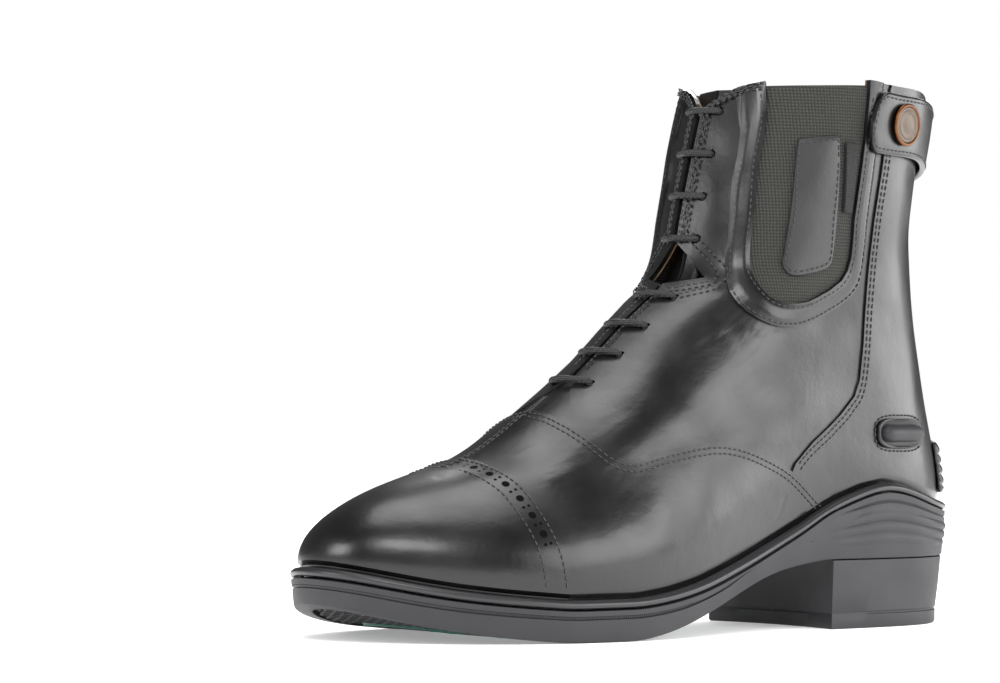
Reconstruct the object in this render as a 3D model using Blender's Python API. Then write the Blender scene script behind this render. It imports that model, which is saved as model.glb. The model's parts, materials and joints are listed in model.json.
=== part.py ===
"""Left paddock boot: leather upper, front elastic lacing, side gussets and a rubber cup sole.

The frame has the toe along -X, the outer side of the foot along -Y and up along +Z, with the
sole on z = 0. Rings run once round the boot, from the toe along the outer side to the heel and back
along the inner side. Tables hold shares of the named sizes.
"""

from collections import namedtuple
from math import pi

import bmesh
import bpy
import numpy as np
from mathutils import Matrix, Vector
from mathutils.geometry import delaunay_2d_cdt

MM = 0.001
SOLE_LENGTH = 0.276
BALL_WIDTH = 0.089
SHAFT_HEIGHT = 0.1875
HEEL_HEIGHT = 0.024
SOLE_THICKNESS = 0.0052
CUP_HEIGHT = 0.0188
TOE_SPRING = 0.0125
LEATHER = 0.0020
OVERLAY = 0.0008
GAP = 0.0003
WELT_REACH = 0.0034
WELT_HEIGHT = 0.0030
MERGE = 0.0000005

COLUMNS = 56

# One row for each ring of the leather's outer face, from the sole to the collar. front, back: shares of
# the length, from the heel. front_z, back_z: shares of the shaft height. follow: how far the ring keeps
# the footbed's dip. The rest are half widths as shares of the ball width, each over the sine of its
# angle: 22.5 degrees apart, from the front ridge to the back seam.
Ring = namedtuple(
    "Ring",
    "front front_z back back_z follow ridge toe cap ball waist arch ankle counter seam",
)
RINGS = (
    Ring(0.9800, 0.0970, 0.0190, 0.1525, 1.00, 0.618, 0.602, 0.590, 0.515, 0.366, 0.322, 0.452, 0.574, 0.620),
    Ring(0.9870, 0.1440, 0.0115, 0.2240, 1.00, 0.640, 0.629, 0.611, 0.537, 0.402, 0.350, 0.466, 0.588, 0.634),
    Ring(0.9670, 0.1950, 0.0150, 0.2880, 0.80, 0.618, 0.612, 0.598, 0.535, 0.416, 0.370, 0.470, 0.588, 0.628),
    Ring(0.9050, 0.2480, 0.0260, 0.3520, 0.45, 0.440, 0.455, 0.475, 0.463, 0.397, 0.375, 0.462, 0.572, 0.605),
    Ring(0.8180, 0.2860, 0.0385, 0.4160, 0.20, 0.425, 0.425, 0.458, 0.422, 0.382, 0.374, 0.456, 0.548, 0.578),
    Ring(0.7480, 0.3300, 0.0505, 0.4850, 0.05, 0.420, 0.435, 0.460, 0.396, 0.370, 0.373, 0.448, 0.530, 0.558),
    Ring(0.6750, 0.4020, 0.0620, 0.5540, 0.00, 0.310, 0.385, 0.408, 0.376, 0.361, 0.372, 0.440, 0.511, 0.537),
    Ring(0.5980, 0.4830, 0.0720, 0.6240, 0.00, 0.205, 0.335, 0.380, 0.370, 0.357, 0.373, 0.435, 0.499, 0.522),
    Ring(0.5270, 0.5690, 0.0795, 0.6930, 0.00, 0.160, 0.308, 0.364, 0.366, 0.360, 0.378, 0.429, 0.488, 0.506),
    Ring(0.4690, 0.6400, 0.0838, 0.7520, 0.00, 0.125, 0.280, 0.361, 0.377, 0.373, 0.387, 0.427, 0.475, 0.489),
    Ring(0.4500, 0.7300, 0.0826, 0.8110, 0.00, 0.115, 0.278, 0.373, 0.393, 0.391, 0.401, 0.442, 0.487, 0.494),
    Ring(0.4350, 0.8210, 0.0775, 0.8700, 0.00, 0.115, 0.282, 0.381, 0.405, 0.405, 0.416, 0.450, 0.494, 0.506),
    Ring(0.4190, 0.9120, 0.0710, 0.9300, 0.00, 0.115, 0.287, 0.388, 0.413, 0.416, 0.425, 0.461, 0.500, 0.511),
    Ring(0.3950, 1.0300, 0.0650, 1.0000, 0.00, 0.115, 0.290, 0.394, 0.421, 0.424, 0.435, 0.466, 0.506, 0.517),
)
# One row for each place along the foot, as a share of the length from the heel. swing: how far the
# centre lies toward the inner side, as a share of the ball width, at the sole. rise: the tread above
# the floor, of the heel height behind and of the toe spring in front. bed: thickness under the foot,
# of the sole thickness. rim: the cup's edge over the bed, of the cup height.
Foot = namedtuple("Foot", "along swing heel_rise toe_rise bed rim")
FOOT = (
    Foot(0.000, 0.000, 1.000, 0.000, 0.83, 0.580),
    Foot(0.050, 0.000, 1.000, 0.000, 0.83, 0.617),
    Foot(0.100, -0.004, 1.000, 0.000, 0.83, 0.735),
    Foot(0.150, -0.009, 1.000, 0.000, 0.83, 0.915),
    Foot(0.200, -0.018, 1.000, 0.000, 0.83, 0.985),
    Foot(0.240, -0.027, 1.000, 0.000, 0.83, 0.880),
    Foot(0.300, -0.037, 1.000, 0.000, 0.84, 0.610),
    Foot(0.340, -0.042, 0.945, 0.000, 0.86, 0.400),
    Foot(0.390, -0.045, 0.850, 0.000, 0.90, 0.225),
    Foot(0.435, -0.046, 0.700, 0.000, 0.94, 0.170),
    Foot(0.490, -0.043, 0.480, 0.000, 1.00, 0.180),
    Foot(0.550, -0.034, 0.255, 0.000, 1.00, 0.220),
    Foot(0.600, -0.020, 0.105, 0.000, 1.00, 0.265),
    Foot(0.645, -0.005, 0.022, 0.000, 1.00, 0.290),
    Foot(0.670, 0.005, 0.000, 0.000, 1.00, 0.295),
    Foot(0.740, 0.028, 0.000, 0.000, 1.00, 0.290),
    Foot(0.820, 0.052, 0.000, 0.130, 1.00, 0.280),
    Foot(0.905, 0.073, 0.000, 0.420, 1.00, 0.255),
    Foot(0.960, 0.083, 0.000, 0.720, 1.00, 0.240),
    Foot(1.000, 0.088, 0.000, 1.000, 1.00, 0.215),
)


def column(rows, name):
    """Returns one named column of a table as an array."""
    return np.array([getattr(row, name) for row in rows])


def curve(xs, ys):
    """Returns a natural cubic spline through the points, for one column or for many at once."""
    xs = np.asarray(xs, float)
    ys = np.asarray(ys, float)
    step = np.diff(xs)
    count = len(xs)
    system = np.eye(count)
    right = np.zeros_like(ys)
    slope = (np.diff(ys, axis=0).T / step).T
    for i in range(1, count - 1):
        system[i, i - 1] = step[i - 1]
        system[i, i] = 2 * (step[i - 1] + step[i])
        system[i, i + 1] = step[i]
        right[i] = 6 * (slope[i] - slope[i - 1])
    bend = np.linalg.solve(system, right)

    def at(x):
        x = np.clip(np.asarray(x, float), xs[0], xs[-1])
        i = np.clip(np.searchsorted(xs, x) - 1, 0, count - 2)
        left = (xs[i + 1] - x) / step[i]
        rest = 1 - left
        lift = step[i] ** 2 / 6
        if ys.ndim == 2:
            left, rest, lift = left[..., None], rest[..., None], lift[..., None]
        low = (left**3 - left) * bend[i] * lift + left * ys[i]
        return low + (rest**3 - rest) * bend[i + 1] * lift + rest * ys[i + 1]

    return at


def sampled(function, end, count):
    """Returns a quick stand-in for a function from 0 to an end, read from evenly spaced samples."""
    samples = function(np.linspace(0, end, count))

    def at(x):
        spot = np.clip(np.asarray(x, float) * ((count - 1) / end), 0, count - 1.000001)
        first = spot.astype(int)
        rest = spot - first
        if samples.ndim == 2:
            rest = rest[..., None]
        return samples[first] * (1 - rest) + samples[first + 1] * rest

    return at


ALONG = column(FOOT, "along") * SOLE_LENGTH
swing_at = sampled(curve(ALONG, column(FOOT, "swing") * BALL_WIDTH), SOLE_LENGTH, 600)


def straight(name, size):
    """Returns a height along the foot, joined by straight lines so that flats stay flat."""
    values = column(FOOT, name) * size
    return lambda u: np.interp(u, ALONG, values)


heel_rise = curve(ALONG, column(FOOT, "heel_rise") * HEEL_HEIGHT)
toe_rise = curve(ALONG, column(FOOT, "toe_rise") * TOE_SPRING)
bed_over = straight("bed", SOLE_THICKNESS)
rim_over = curve(ALONG, column(FOOT, "rim") * CUP_HEIGHT)
FLAT_BACK = 0.300 * SOLE_LENGTH
FLAT_START = 0.650 * SOLE_LENGTH
FLAT_END = 0.765 * SOLE_LENGTH


def tread_shape(u):
    """Returns the height of the tread, flat under the heel seat and under the ball."""
    u = np.asarray(u, float)
    back = np.where(u <= FLAT_BACK, HEEL_HEIGHT, np.maximum(heel_rise(u), 0))
    front = np.where(u >= FLAT_END, np.maximum(toe_rise(u), 0), 0)
    return np.where(u < FLAT_START, back, front)


tread = sampled(tread_shape, SOLE_LENGTH, 2401)
bed = sampled(lambda u: tread_shape(u) + bed_over(u), SOLE_LENGTH, 2401)


ring_levels = np.arange(len(RINGS))
TOP_LEVEL = len(RINGS) - 1.0
ring_path = sampled(curve(ring_levels, np.array([r[:5] for r in RINGS])), TOP_LEVEL, 1301)
ring_girth = sampled(curve(ring_levels, np.array([r[5:] for r in RINGS])), TOP_LEVEL, 1301)
STATIONS = 9
angles = np.linspace(0, pi, STATIONS)
TO_WAVES = np.linalg.inv(np.cos(np.outer(angles, np.arange(STATIONS))))


def surface(angle, level):
    """Returns points of the leather's outer face, at angles round the boot and levels up it."""
    angle, level = np.broadcast_arrays(np.asarray(angle, float), np.asarray(level, float))
    front, front_z, back, back_z, follow = np.moveaxis(ring_path(level), -1, 0)
    front = front * SOLE_LENGTH
    back = back * SOLE_LENGTH
    share = (1 + np.cos(angle)) / 2
    u = back + (front - back) * share
    waves = ring_girth(level) @ TO_WAVES.T
    girth = (waves * np.cos(angle[..., None] * np.arange(STATIONS))).sum(-1) * BALL_WIDTH
    flat = bed(front) * share + bed(back) * (1 - share)
    z = (front_z * share + back_z * (1 - share)) * SHAFT_HEIGHT + np.clip(follow, 0, 1) * (bed(u) - flat)
    sole = np.clip(level, 0, 1)
    z = np.where(level < 1, (bed(u) + GAP) * (1 - sole) + z * sole, z)
    fade = np.clip(1 - level / 8, 0.12, 1)
    y = fade * swing_at(u) - girth * np.sin(angle)
    return np.stack([SOLE_LENGTH / 2 - u, y, z], -1)


def normals(angle, level):
    """Returns outward unit normals of the outer face."""
    step = 0.02
    level = np.asarray(level, float)
    high = np.minimum(level + step, TOP_LEVEL)
    low = np.maximum(level - step, 0)
    round_boot = surface(angle + step, level) - surface(angle - step, level)
    up_boot = surface(angle, high) - surface(angle, low)
    out = np.cross(round_boot, up_boot)
    return out / np.linalg.norm(out, axis=-1, keepdims=True)


def outside(angle, level, reach):
    """Returns points at a reach from the outer face, along its normals."""
    return surface(angle, level) + normals(angle, level) * np.asarray(reach, float)[..., None]


def level_at(angle, height):
    """Returns the levels where the outer face reaches the heights, by halving."""
    angle, height = np.broadcast_arrays(np.asarray(angle, float), np.asarray(height, float))
    low = np.zeros(angle.shape)
    high = np.full(angle.shape, TOP_LEVEL)
    for _ in range(22):
        middle = (low + high) / 2
        under = surface(angle, middle)[..., 2] < height
        low = np.where(under, middle, low)
        high = np.where(under, high, middle)
    return (low + high) / 2


def place(u, z, side):
    """Returns the angle and level of points given from the side, with side -1 for the outer one."""
    u, z = np.broadcast_arrays(np.asarray(u, float), np.asarray(z, float))
    level = np.full(u.shape, 6.0)
    for _ in range(13):
        path = ring_path(level)
        front = path[..., 0] * SOLE_LENGTH
        back = path[..., 2] * SOLE_LENGTH
        share = np.clip((u - back) / (front - back), 0.0001, 0.9999)
        angle = np.arccos(2 * share - 1)
        level = (level + level_at(angle, z)) / 2
    return np.where(side < 0, angle, 2 * pi - angle), level


def on_side(u, z, side, reach):
    """Returns points over the outer face at a reach, from places given from the side."""
    return outside(*place(u, z, side), reach)


def across(height, half):
    """Returns the angle off the front ridge where the shaft has the half width at the height."""
    low = 0.0
    high = 1.3
    ridge = surface(0, level_at(0, height))[1]
    for _ in range(18):
        middle = (low + high) / 2
        if ridge - surface(middle, level_at(middle, height))[1] < half:
            low = middle
        else:
            high = middle
    return (low + high) / 2


def along(point):
    """Returns the distance of points from the back of the heel."""
    return SOLE_LENGTH / 2 - np.asarray(point)[..., 0]


def smooth(points, steps, closed=False):
    """Returns a soft line through the points, with a number of steps between each two."""
    points = np.asarray(points, float)
    if closed:
        points = np.concatenate([points[-1:], points, points[:2]])
    else:
        points = np.concatenate([2 * points[:1] - points[1:2], points, 2 * points[-1:] - points[-2:-1]])
    out = []
    for a, b, c, d in zip(points, points[1:], points[2:], points[3:]):
        for t in np.arange(steps) / steps:
            near = 2 * b + (c - a) * t
            far = (2 * a - 5 * b + 4 * c - d) * t**2 + (3 * b - a - 3 * c + d) * t**3
            out.append((near + far) / 2)
    if not closed:
        out.append(points[-2])
    return np.array(out)


def zipper(count, first):
    """Returns triangles that close a ring by joining its two sides across."""
    faces = []
    left = 0
    right = count
    while left + 1 < right:
        faces.append((first + left, first + left + 1, first + right % count))
        if left + 1 < right - 1:
            faces.append((first + left + 1, first + right - 1, first + right % count))
        left += 1
        right -= 1
    return faces


def solid(name, loops, closed=False, flat_ends=False):
    """Makes an object with a skin over loops of points, closed on itself or capped at its two ends."""
    loops = [np.asarray(loop, float) for loop in loops]
    count = len(loops[0])
    rows = len(loops)
    faces = []
    for row in range(rows if closed else rows - 1):
        base = row * count
        above = (row + 1) % rows * count
        for i in range(count):
            j = (i + 1) % count
            faces.append((base + i, base + j, above + j))
            faces.append((base + i, above + j, above + i))
    if not closed and flat_ends:
        faces.append(tuple(range(count))[::-1])
        faces.append(tuple(range((rows - 1) * count, rows * count)))
    elif not closed:
        faces += [face[::-1] for face in zipper(count, 0)]
        faces += zipper(count, (rows - 1) * count)
    mesh = bpy.data.meshes.new(name)
    mesh.from_pydata(np.concatenate(loops).tolist(), [], faces)
    thing = bpy.data.objects.new(name, mesh)
    bpy.context.scene.collection.objects.link(thing)
    tidy(thing)
    return thing


def tidy(thing):
    """Merges doubled points, splits faces into triangles and turns them outward."""
    work = bmesh.new()
    work.from_mesh(thing.data)
    bmesh.ops.remove_doubles(work, verts=work.verts, dist=MERGE)
    bmesh.ops.dissolve_degenerate(work, dist=MERGE, edges=work.edges)
    bmesh.ops.triangulate(work, faces=work.faces, ngon_method="EAR_CLIP")
    if work.calc_volume(signed=True) < 0:
        bmesh.ops.reverse_faces(work, faces=work.faces)
    work.to_mesh(thing.data)
    work.free()


def combine(thing, other, operation):
    """Cuts, joins or keeps the common part of two solids, and removes the second."""
    modifier = thing.modifiers.new(operation, "BOOLEAN")
    modifier.operation = operation
    modifier.object = other
    modifier.solver = "EXACT"
    graph = bpy.context.evaluated_depsgraph_get()
    mesh = bpy.data.meshes.new_from_object(thing.evaluated_get(graph))
    thing.modifiers.clear()
    thing.data = mesh
    bpy.data.objects.remove(other)
    tidy(thing)
    return thing


def scaled(rows):
    """Returns a side outline's rows of shares of the length and of the shaft height, as sizes."""
    return np.array(rows, float) * (SOLE_LENGTH, SHAFT_HEIGHT)


columns = np.arange(COLUMNS) * 2 * pi / COLUMNS


def rim_level(angle):
    """Returns the level of the cup's edge round the boot."""
    level = np.ones(np.shape(angle))
    for _ in range(6):
        u = along(surface(angle, level))
        level = level_at(angle, bed(u) + rim_over(u))
    return level


# The collar's height as shares of the shaft height, 22.5 degrees apart from the front ridge to the back.
COLLAR = (0.948, 0.985, 1.004, 1.010, 1.008, 1.003, 0.993, 0.972, 0.962)


def collar_height(angle):
    """Returns the height of the collar's edge."""
    waves = TO_WAVES @ np.array(COLLAR)
    return (waves * np.cos(np.asarray(angle)[..., None] * np.arange(STATIONS))).sum(-1) * SHAFT_HEIGHT


rims = rim_level(columns)
rim_heights = surface(columns, rims)[:, 2]


def collar_level(angle, drop=0.0):
    """Returns the levels of the collar's edge at the angles, less a drop."""
    return level_at(angle, collar_height(angle) - drop)


# Side outlines, as shares of the length from the heel and of the shaft height.
VAMP_SEAM = (
    (0.690, 0.420), (0.684, 0.393), (0.6785, 0.364), (0.669, 0.338), (0.655, 0.317), (0.631, 0.309),
    (0.583, 0.325), (0.515, 0.340), (0.464, 0.335), (0.406, 0.311), (0.363, 0.285), (0.305, 0.232),
)
CAP_SEAM = (
    (0.788, 0.380), (0.787, 0.304), (0.785, 0.288), (0.777, 0.256), (0.771, 0.197), (0.765, 0.144), (0.752, 0.050),
)
BACK_SEAM = (
    (0.206, 1.100), (0.213, 0.900), (0.222, 0.752), (0.226, 0.608), (0.236, 0.459), (0.259, 0.412),
    (0.295, 0.373), (0.363, 0.304), (0.395, 0.200),
)
GUSSET_EDGE = (
    (0.362, 1.080), (0.373, 0.939), (0.388, 0.843), (0.3985, 0.741), (0.4055, 0.672), (0.405, 0.632),
    (0.394, 0.603), (0.371, 0.594), (0.344, 0.597), (0.319, 0.608), (0.275, 0.640), (0.261, 0.683),
    (0.263, 0.752), (0.257, 0.853), (0.250, 0.981), (0.247, 1.080),
)
BAND_EDGE = (
    (0.382, 1.080), (0.396, 0.905), (0.410, 0.820), (0.4275, 0.672), (0.439, 0.613), (0.426, 0.577),
    (0.3985, 0.555), (0.375, 0.551), (0.344, 0.556), (0.303, 0.576), (0.254, 0.613), (0.2365, 0.660),
    (0.236, 0.752), (0.232, 0.853), (0.225, 0.981), (0.222, 1.080),
)


# The throat's outer side, as half widths in shares of the ball width and heights, from the collar down:
# a slot, the notch at the ankle and the slot again, down to the foot of the tongue.
THROAT = (
    (0.009, 0.99), (0.009, 0.900), (0.009, 0.800), (0.009, 0.705), (0.080, 0.673), (0.157, 0.640),
    (0.085, 0.634), (0.009, 0.629), (0.009, 0.580), (0.009, 0.530), (0.009, 0.463),
)
TONGUE_FOOT = ((0.009, 0.463), (0.070, 0.427), (0.180, 0.381), (0.205, 0.364))
# One row for each pair of eyelets, from the top: its height as a share of the shaft height, and how far
# each eyelet lies from the middle, as a share of the ball width.
Eyelet = namedtuple("Eyelet", "height spread")
EYELETS = (
    Eyelet(0.947, 0.082), Eyelet(0.868, 0.082), Eyelet(0.789, 0.083), Eyelet(0.711, 0.085),
    Eyelet(0.603, 0.104), Eyelet(0.549, 0.104), Eyelet(0.497, 0.103), Eyelet(0.445, 0.103),
)
EYELET_HOLE = 0.0034
CORD = 0.0022
ZIP_WIDTH = 0.0090
ZIP_FOOT = 0.375
ROWS = (0.035, 0.075, 0.12, 0.17, 0.235, 0.31, 0.40, 0.50, 0.61, 0.73, 0.86, 1.0)


def near_back(height, half):
    """Returns the angle at which the shaft has the half width behind, at the height."""
    low = 0.0
    high = 0.8
    seam = surface(pi, level_at(pi, height))[1]
    for _ in range(18):
        middle = (low + high) / 2
        if seam - surface(pi - middle, level_at(pi - middle, height))[1] < half:
            low = middle
        else:
            high = middle
    return pi - (low + high) / 2


def eyelet(row, side):
    """Returns the angle and level of one eyelet."""
    height = row.height * SHAFT_HEIGHT
    angle = across(height, row.spread * BALL_WIDTH)
    return angle * -side, float(level_at(angle, height))


def from_side(rows, steps):
    """Returns a soft line on the outer face, as angles and levels, from a side outline."""
    line = smooth(scaled(rows), steps)
    angle, level = place(line[:, 0], line[:, 1], -1)
    return np.stack([angle, np.minimum(level, collar_level(angle))], 1)


def from_front(rows):
    """Returns a line on the outer face from half widths and heights, seen from the front."""
    line = []
    for half, height in rows:
        z = height * SHAFT_HEIGHT
        angle = across(z, half * BALL_WIDTH)
        line.append((angle, min(float(level_at(angle, z)), float(collar_level(angle)))))
    return np.array(line)


def ridge_level(share):
    """Returns the level at which the front ridge lies at a share of the length."""
    low = 3.0
    high = 10.0
    for _ in range(30):
        middle = (low + high) / 2
        if ring_path(middle)[0] > share:
            low = middle
        else:
            high = middle
    return (low + high) / 2


def inside(point, outline):
    """Tells whether a point lies inside a closed outline."""
    x, y = point
    odd = False
    for (ax, ay), (bx, by) in zip(outline, np.roll(outline, -1, axis=0)):
        if (ay > y) != (by > y) and x < (bx - ax) * (y - ay) / (by - ay) + ax:
            odd = not odd
    return odd


def both(line):
    """Returns a line and its twin on the inner side."""
    return [line, line * (-1, 1)]


def clipped(line, floor):
    """Returns the part of a line above a floor of levels, ending on it."""
    keep = [line[0]]
    for a, b in zip(line, line[1:]):
        under = b[1] - floor(b[0])
        over = a[1] - floor(a[0])
        if under <= 0:
            keep.append(a + (b - a) * over / (over - under))
            break
        keep.append(b)
    return np.array(keep)


def rod(points, radius, sides, name):
    """Makes a round cord along points, with a frame carried from one to the next."""
    points = np.asarray(points, float)
    tangents = np.gradient(points, axis=0)
    tangents /= np.linalg.norm(tangents, axis=1, keepdims=True)
    across_it = np.cross(tangents[0], (0, 0, 1.0))
    if np.linalg.norm(across_it) < 0.1:
        across_it = np.cross(tangents[0], (0, 1.0, 0))
    loops = []
    turns = np.arange(sides) * 2 * pi / sides
    for point, tangent in zip(points, tangents):
        across_it = across_it - tangent * (across_it @ tangent)
        across_it /= np.linalg.norm(across_it)
        other = np.cross(tangent, across_it)
        loops.append(point + radius * (np.outer(np.cos(turns), across_it) + np.outer(np.sin(turns), other)))
    return solid(name, loops)


def leather_map():
    """Draws the upper flat, as angles and levels: its seams, holes, rows and the outline of each region."""
    turns = np.concatenate([columns[columns < pi - 0.001], [pi]])
    turns = np.concatenate([-turns[:0:-1], turns])
    rim = rim_level(turns)
    lift = surface(turns, rim)[:, 2] + WELT_HEIGHT + 2.5 * GAP
    start = level_at(turns, lift)
    full = level_at(turns, lift + 2 * OVERLAY)
    head = collar_level(turns)
    rows = [rim * 0, rim * 0.5, rim, start, full]
    rows += [full + (head - full) * share for share in ROWS]

    def floor(turn):
        return np.interp(turn, turns, start)

    vamp = from_side(VAMP_SEAM[1:], 2)
    vamp = np.concatenate([[(0, ridge_level(VAMP_SEAM[0][0]))], clipped(vamp, floor)])
    cap = from_side(CAP_SEAM[1:], 2)
    cap = np.concatenate([[(0, ridge_level(CAP_SEAM[0][0]))], clipped(cap, floor)])
    back = clipped(from_side(BACK_SEAM, 2), floor)
    gusset = from_side(GUSSET_EDGE, 2)
    band = from_side(BAND_EDGE, 2)
    crests = [gusset + (band - gusset) * share for share in (0.3, 0.7)]
    throat = from_front(THROAT)
    root = from_front(TONGUE_FOOT)
    zip_heights = np.linspace(ZIP_FOOT, 0.99, 7) * SHAFT_HEIGHT
    zip_turns = [near_back(z, ZIP_WIDTH / 2 + GAP) for z in zip_heights]
    slit = np.array([(turn, level_at(turn, z)) for turn, z in zip(zip_turns, zip_heights)])
    slit[-1, 1] = collar_level(slit[-1, 0])
    slit = np.concatenate([[(pi, slit[0, 1])], slit])
    holes = []
    for pair in EYELETS:
        turn, level = eyelet(pair, -1)
        wide = np.linalg.norm(surface(turn + 0.01, level) - surface(turn - 0.01, level)) / 0.02
        tall = np.linalg.norm(surface(turn, level + 0.01) - surface(turn, level - 0.01)) / 0.02
        round_it = (np.arange(7) + 0.5) * 2 * pi / 7
        radius = EYELET_HOLE / 2
        holes.append(np.stack([turn + radius / wide * np.cos(round_it), level + radius / tall * np.sin(round_it)], 1))
    return turns, rows, vamp, cap, back, gusset, band, crests, throat, root, slit, holes


SCALE = np.array((40.0, 12.0))


def make_upper():
    """Makes the hollow shell, with its steps as walls between the regions of the flat drawing."""
    turns, rows, vamp, cap, back, gusset, band, crests, throat, root, slit, holes = leather_map()
    top = TOP_LEVEL
    points = []
    edges = []

    def draw(line, closed=False):
        first = len(points)
        points.extend(line)
        edges.extend((first + i, first + i + 1) for i in range(len(line) - 1))
        if closed:
            edges.append((first + len(line) - 1, first))

    for line in (vamp, cap, back, gusset, band, *crests, throat, root, slit):
        for twin in both(line):
            draw(twin)
    for hole in holes:
        for twin in both(hole):
            draw(twin, True)
    drawn = np.array(points) * SCALE
    for number, row in enumerate(rows):
        line = np.stack([turns, row], 1)
        if number < 5 or number == len(rows) - 1:
            draw(line)
        else:
            for spot in line:
                near = np.linalg.norm(drawn - spot * SCALE, axis=1).min()
                if near > 2.3 or abs(spot[0]) > pi - 0.001:
                    points.append(spot)
    for end in (0, -1):
        draw(np.array([(turns[end], row[end]) for row in rows]))
    spread = [Vector(spot * SCALE) for spot in points]
    found, _, faces, *_ = delaunay_2d_cdt(spread, edges, [], 0, 0.0001, False)
    flat = np.array([tuple(spot) for spot in found]) / SCALE
    flat[np.abs(flat[:, 0]) > pi - 0.0005, 0] = pi
    _, first, same = np.unique(np.round(flat, 4), axis=0, return_index=True, return_inverse=True)
    same = first[same.reshape(-1)]
    bounds = {
        "vamp": np.concatenate([vamp, [(vamp[-1, 0], -1)], [(-vamp[-1, 0], -1)], (vamp * (-1, 1))[::-1]]),
        "cap": np.concatenate([cap, [(cap[-1, 0], -1)], [(-cap[-1, 0], -1)], (cap * (-1, 1))[::-1]]),
        "back": np.concatenate([back, [(back[-1, 0], -1), (4, -1), (4, top + 1), (back[0, 0], top + 1)]]),
        "band": np.concatenate([band, [(band[-1, 0], top + 1), (band[0, 0], top + 1)]]),
        "gusset": np.concatenate([gusset, [(gusset[-1, 0], top + 1), (gusset[0, 0], top + 1)]]),
        "throat": np.concatenate([throat, (throat * (-1, 1))[::-1]]),
        "throat_top": np.array([throat[0], (throat[0, 0], top + 1), (-throat[0, 0], top + 1), throat[0] * (-1, 1)]),
        "root": np.concatenate([root, [(root[-1, 0], 4.5), (-root[-1, 0], 4.5)], (root * (-1, 1))[::-1]]),
        "slit": np.concatenate([slit, [(slit[-1, 0], top + 1), (4, top + 1), (4, slit[0, 1])]]),
    }

    def region(spot):
        mirrored = (abs(spot[0]), spot[1])
        if spot[1] > np.interp(spot[0], turns, rows[-1]) or spot[1] < 0:
            return None
        if any(inside(mirrored, bounds[name]) for name in ("gusset", "slit")):
            return None
        if inside(spot, bounds["throat"]) or inside(spot, bounds["throat_top"]):
            return None
        if any(inside(mirrored, hole) for hole in holes):
            return None
        if inside(spot, bounds["cap"]):
            return "cap"
        if inside(spot, bounds["vamp"]):
            return "vamp"
        if inside(mirrored, bounds["band"]):
            return "band"
        if inside(mirrored, bounds["back"]):
            return "back"
        return "root" if inside(spot, bounds["root"]) else "quarter"

    crest = np.concatenate([np.concatenate(both(line)) for line in crests])
    padded = np.array([np.linalg.norm((crest - spot) * SCALE, axis=1).min() < 0.01 for spot in flat])
    start = np.interp(flat[:, 0], turns, rows[3])
    full = np.interp(flat[:, 0], turns, rows[4])
    grow = np.clip((flat[:, 1] - start) / (full - start), 0, 1)
    grow[grow < 0.02] = 0
    lifts = {"cap": 2.0, "vamp": 1.0, "band": 1.0, "back": 0.9, "root": -1.0, "quarter": 0.0}
    vertices = {}
    spots = []

    def vertex(index, reach):
        key = (int(same[index]), round(reach * 1e6))
        if key not in vertices:
            vertices[key] = len(spots)
            spots.append((flat[key[0], 0], flat[key[0], 1], reach))
        return vertices[key]

    def reach_of(index, name):
        extra = 0.9 if name == "band" and padded[index] else 0
        return (lifts[name] + extra) * OVERLAY * float(grow[index])

    named = []
    beside = {}
    stack = {}
    for face in faces:
        a, b, c = face
        if len({int(same[a]), int(same[b]), int(same[c])}) < 3:
            continue
        middle = np.array([tuple(found[i]) for i in face]).mean(0) / SCALE
        name = region(middle)
        if name is None:
            continue
        named.append((face, name))
        for i, j in ((a, b), (b, c), (c, a)):
            key = tuple(sorted((int(same[i]), int(same[j]))))
            beside.setdefault(key, []).append((i, j, name))
            stack.setdefault(int(same[i]), set()).add(round(reach_of(i, name) * 1e6))
    skin = []
    for (a, b, c), name in named:
        skin.append([vertex(i, reach_of(i, name)) for i in (a, b, c)])
        skin.append([vertex(i, -LEATHER) for i in (c, b, a)])

    def post(index, low, high):
        """Returns the points of a wall's upright edge, from high to low."""
        between = {value / 1e6 for value in stack[int(same[index])] if low * 1e6 + 0.5 < value < high * 1e6 - 0.5}
        return [vertex(index, value) for value in [high, *sorted(between, reverse=True), low]]

    for uses in beside.values():
        i, j, name = uses[0]
        here = (reach_of(i, name), reach_of(j, name))
        there = (-LEATHER, -LEATHER)
        if len(uses) == 2:
            there = (reach_of(i, uses[1][2]), reach_of(j, uses[1][2]))
        if max(abs(here[0] - there[0]), abs(here[1] - there[1])) < 1e-6:
            continue
        if here[0] + here[1] < there[0] + there[1]:
            i, j = j, i
            here, there = there[::-1], here[::-1]
        left = post(i, min(here[0], there[0]), max(here[0], there[0]))
        right = post(j, min(here[1], there[1]), max(here[1], there[1]))
        loop = []
        for spot in left + right[::-1]:
            if spot not in loop:
                loop.append(spot)
        if len(loop) > 2:
            skin.append(loop)
    data = np.array(spots)
    shell = outside(data[:, 0], data[:, 1], data[:, 2])
    foot = data[:, 1] < 0.001
    shell[foot, 2] = bed(along(shell[foot])) + GAP
    mesh = bpy.data.meshes.new("upper")
    mesh.from_pydata(shell.tolist(), [], skin)
    upper = bpy.data.objects.new("upper", mesh)
    bpy.context.scene.collection.objects.link(upper)
    work = bmesh.new()
    work.from_mesh(mesh)
    bmesh.ops.recalc_face_normals(work, faces=work.faces)
    work.to_mesh(mesh)
    work.free()
    tidy(upper)
    return upper


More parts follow.
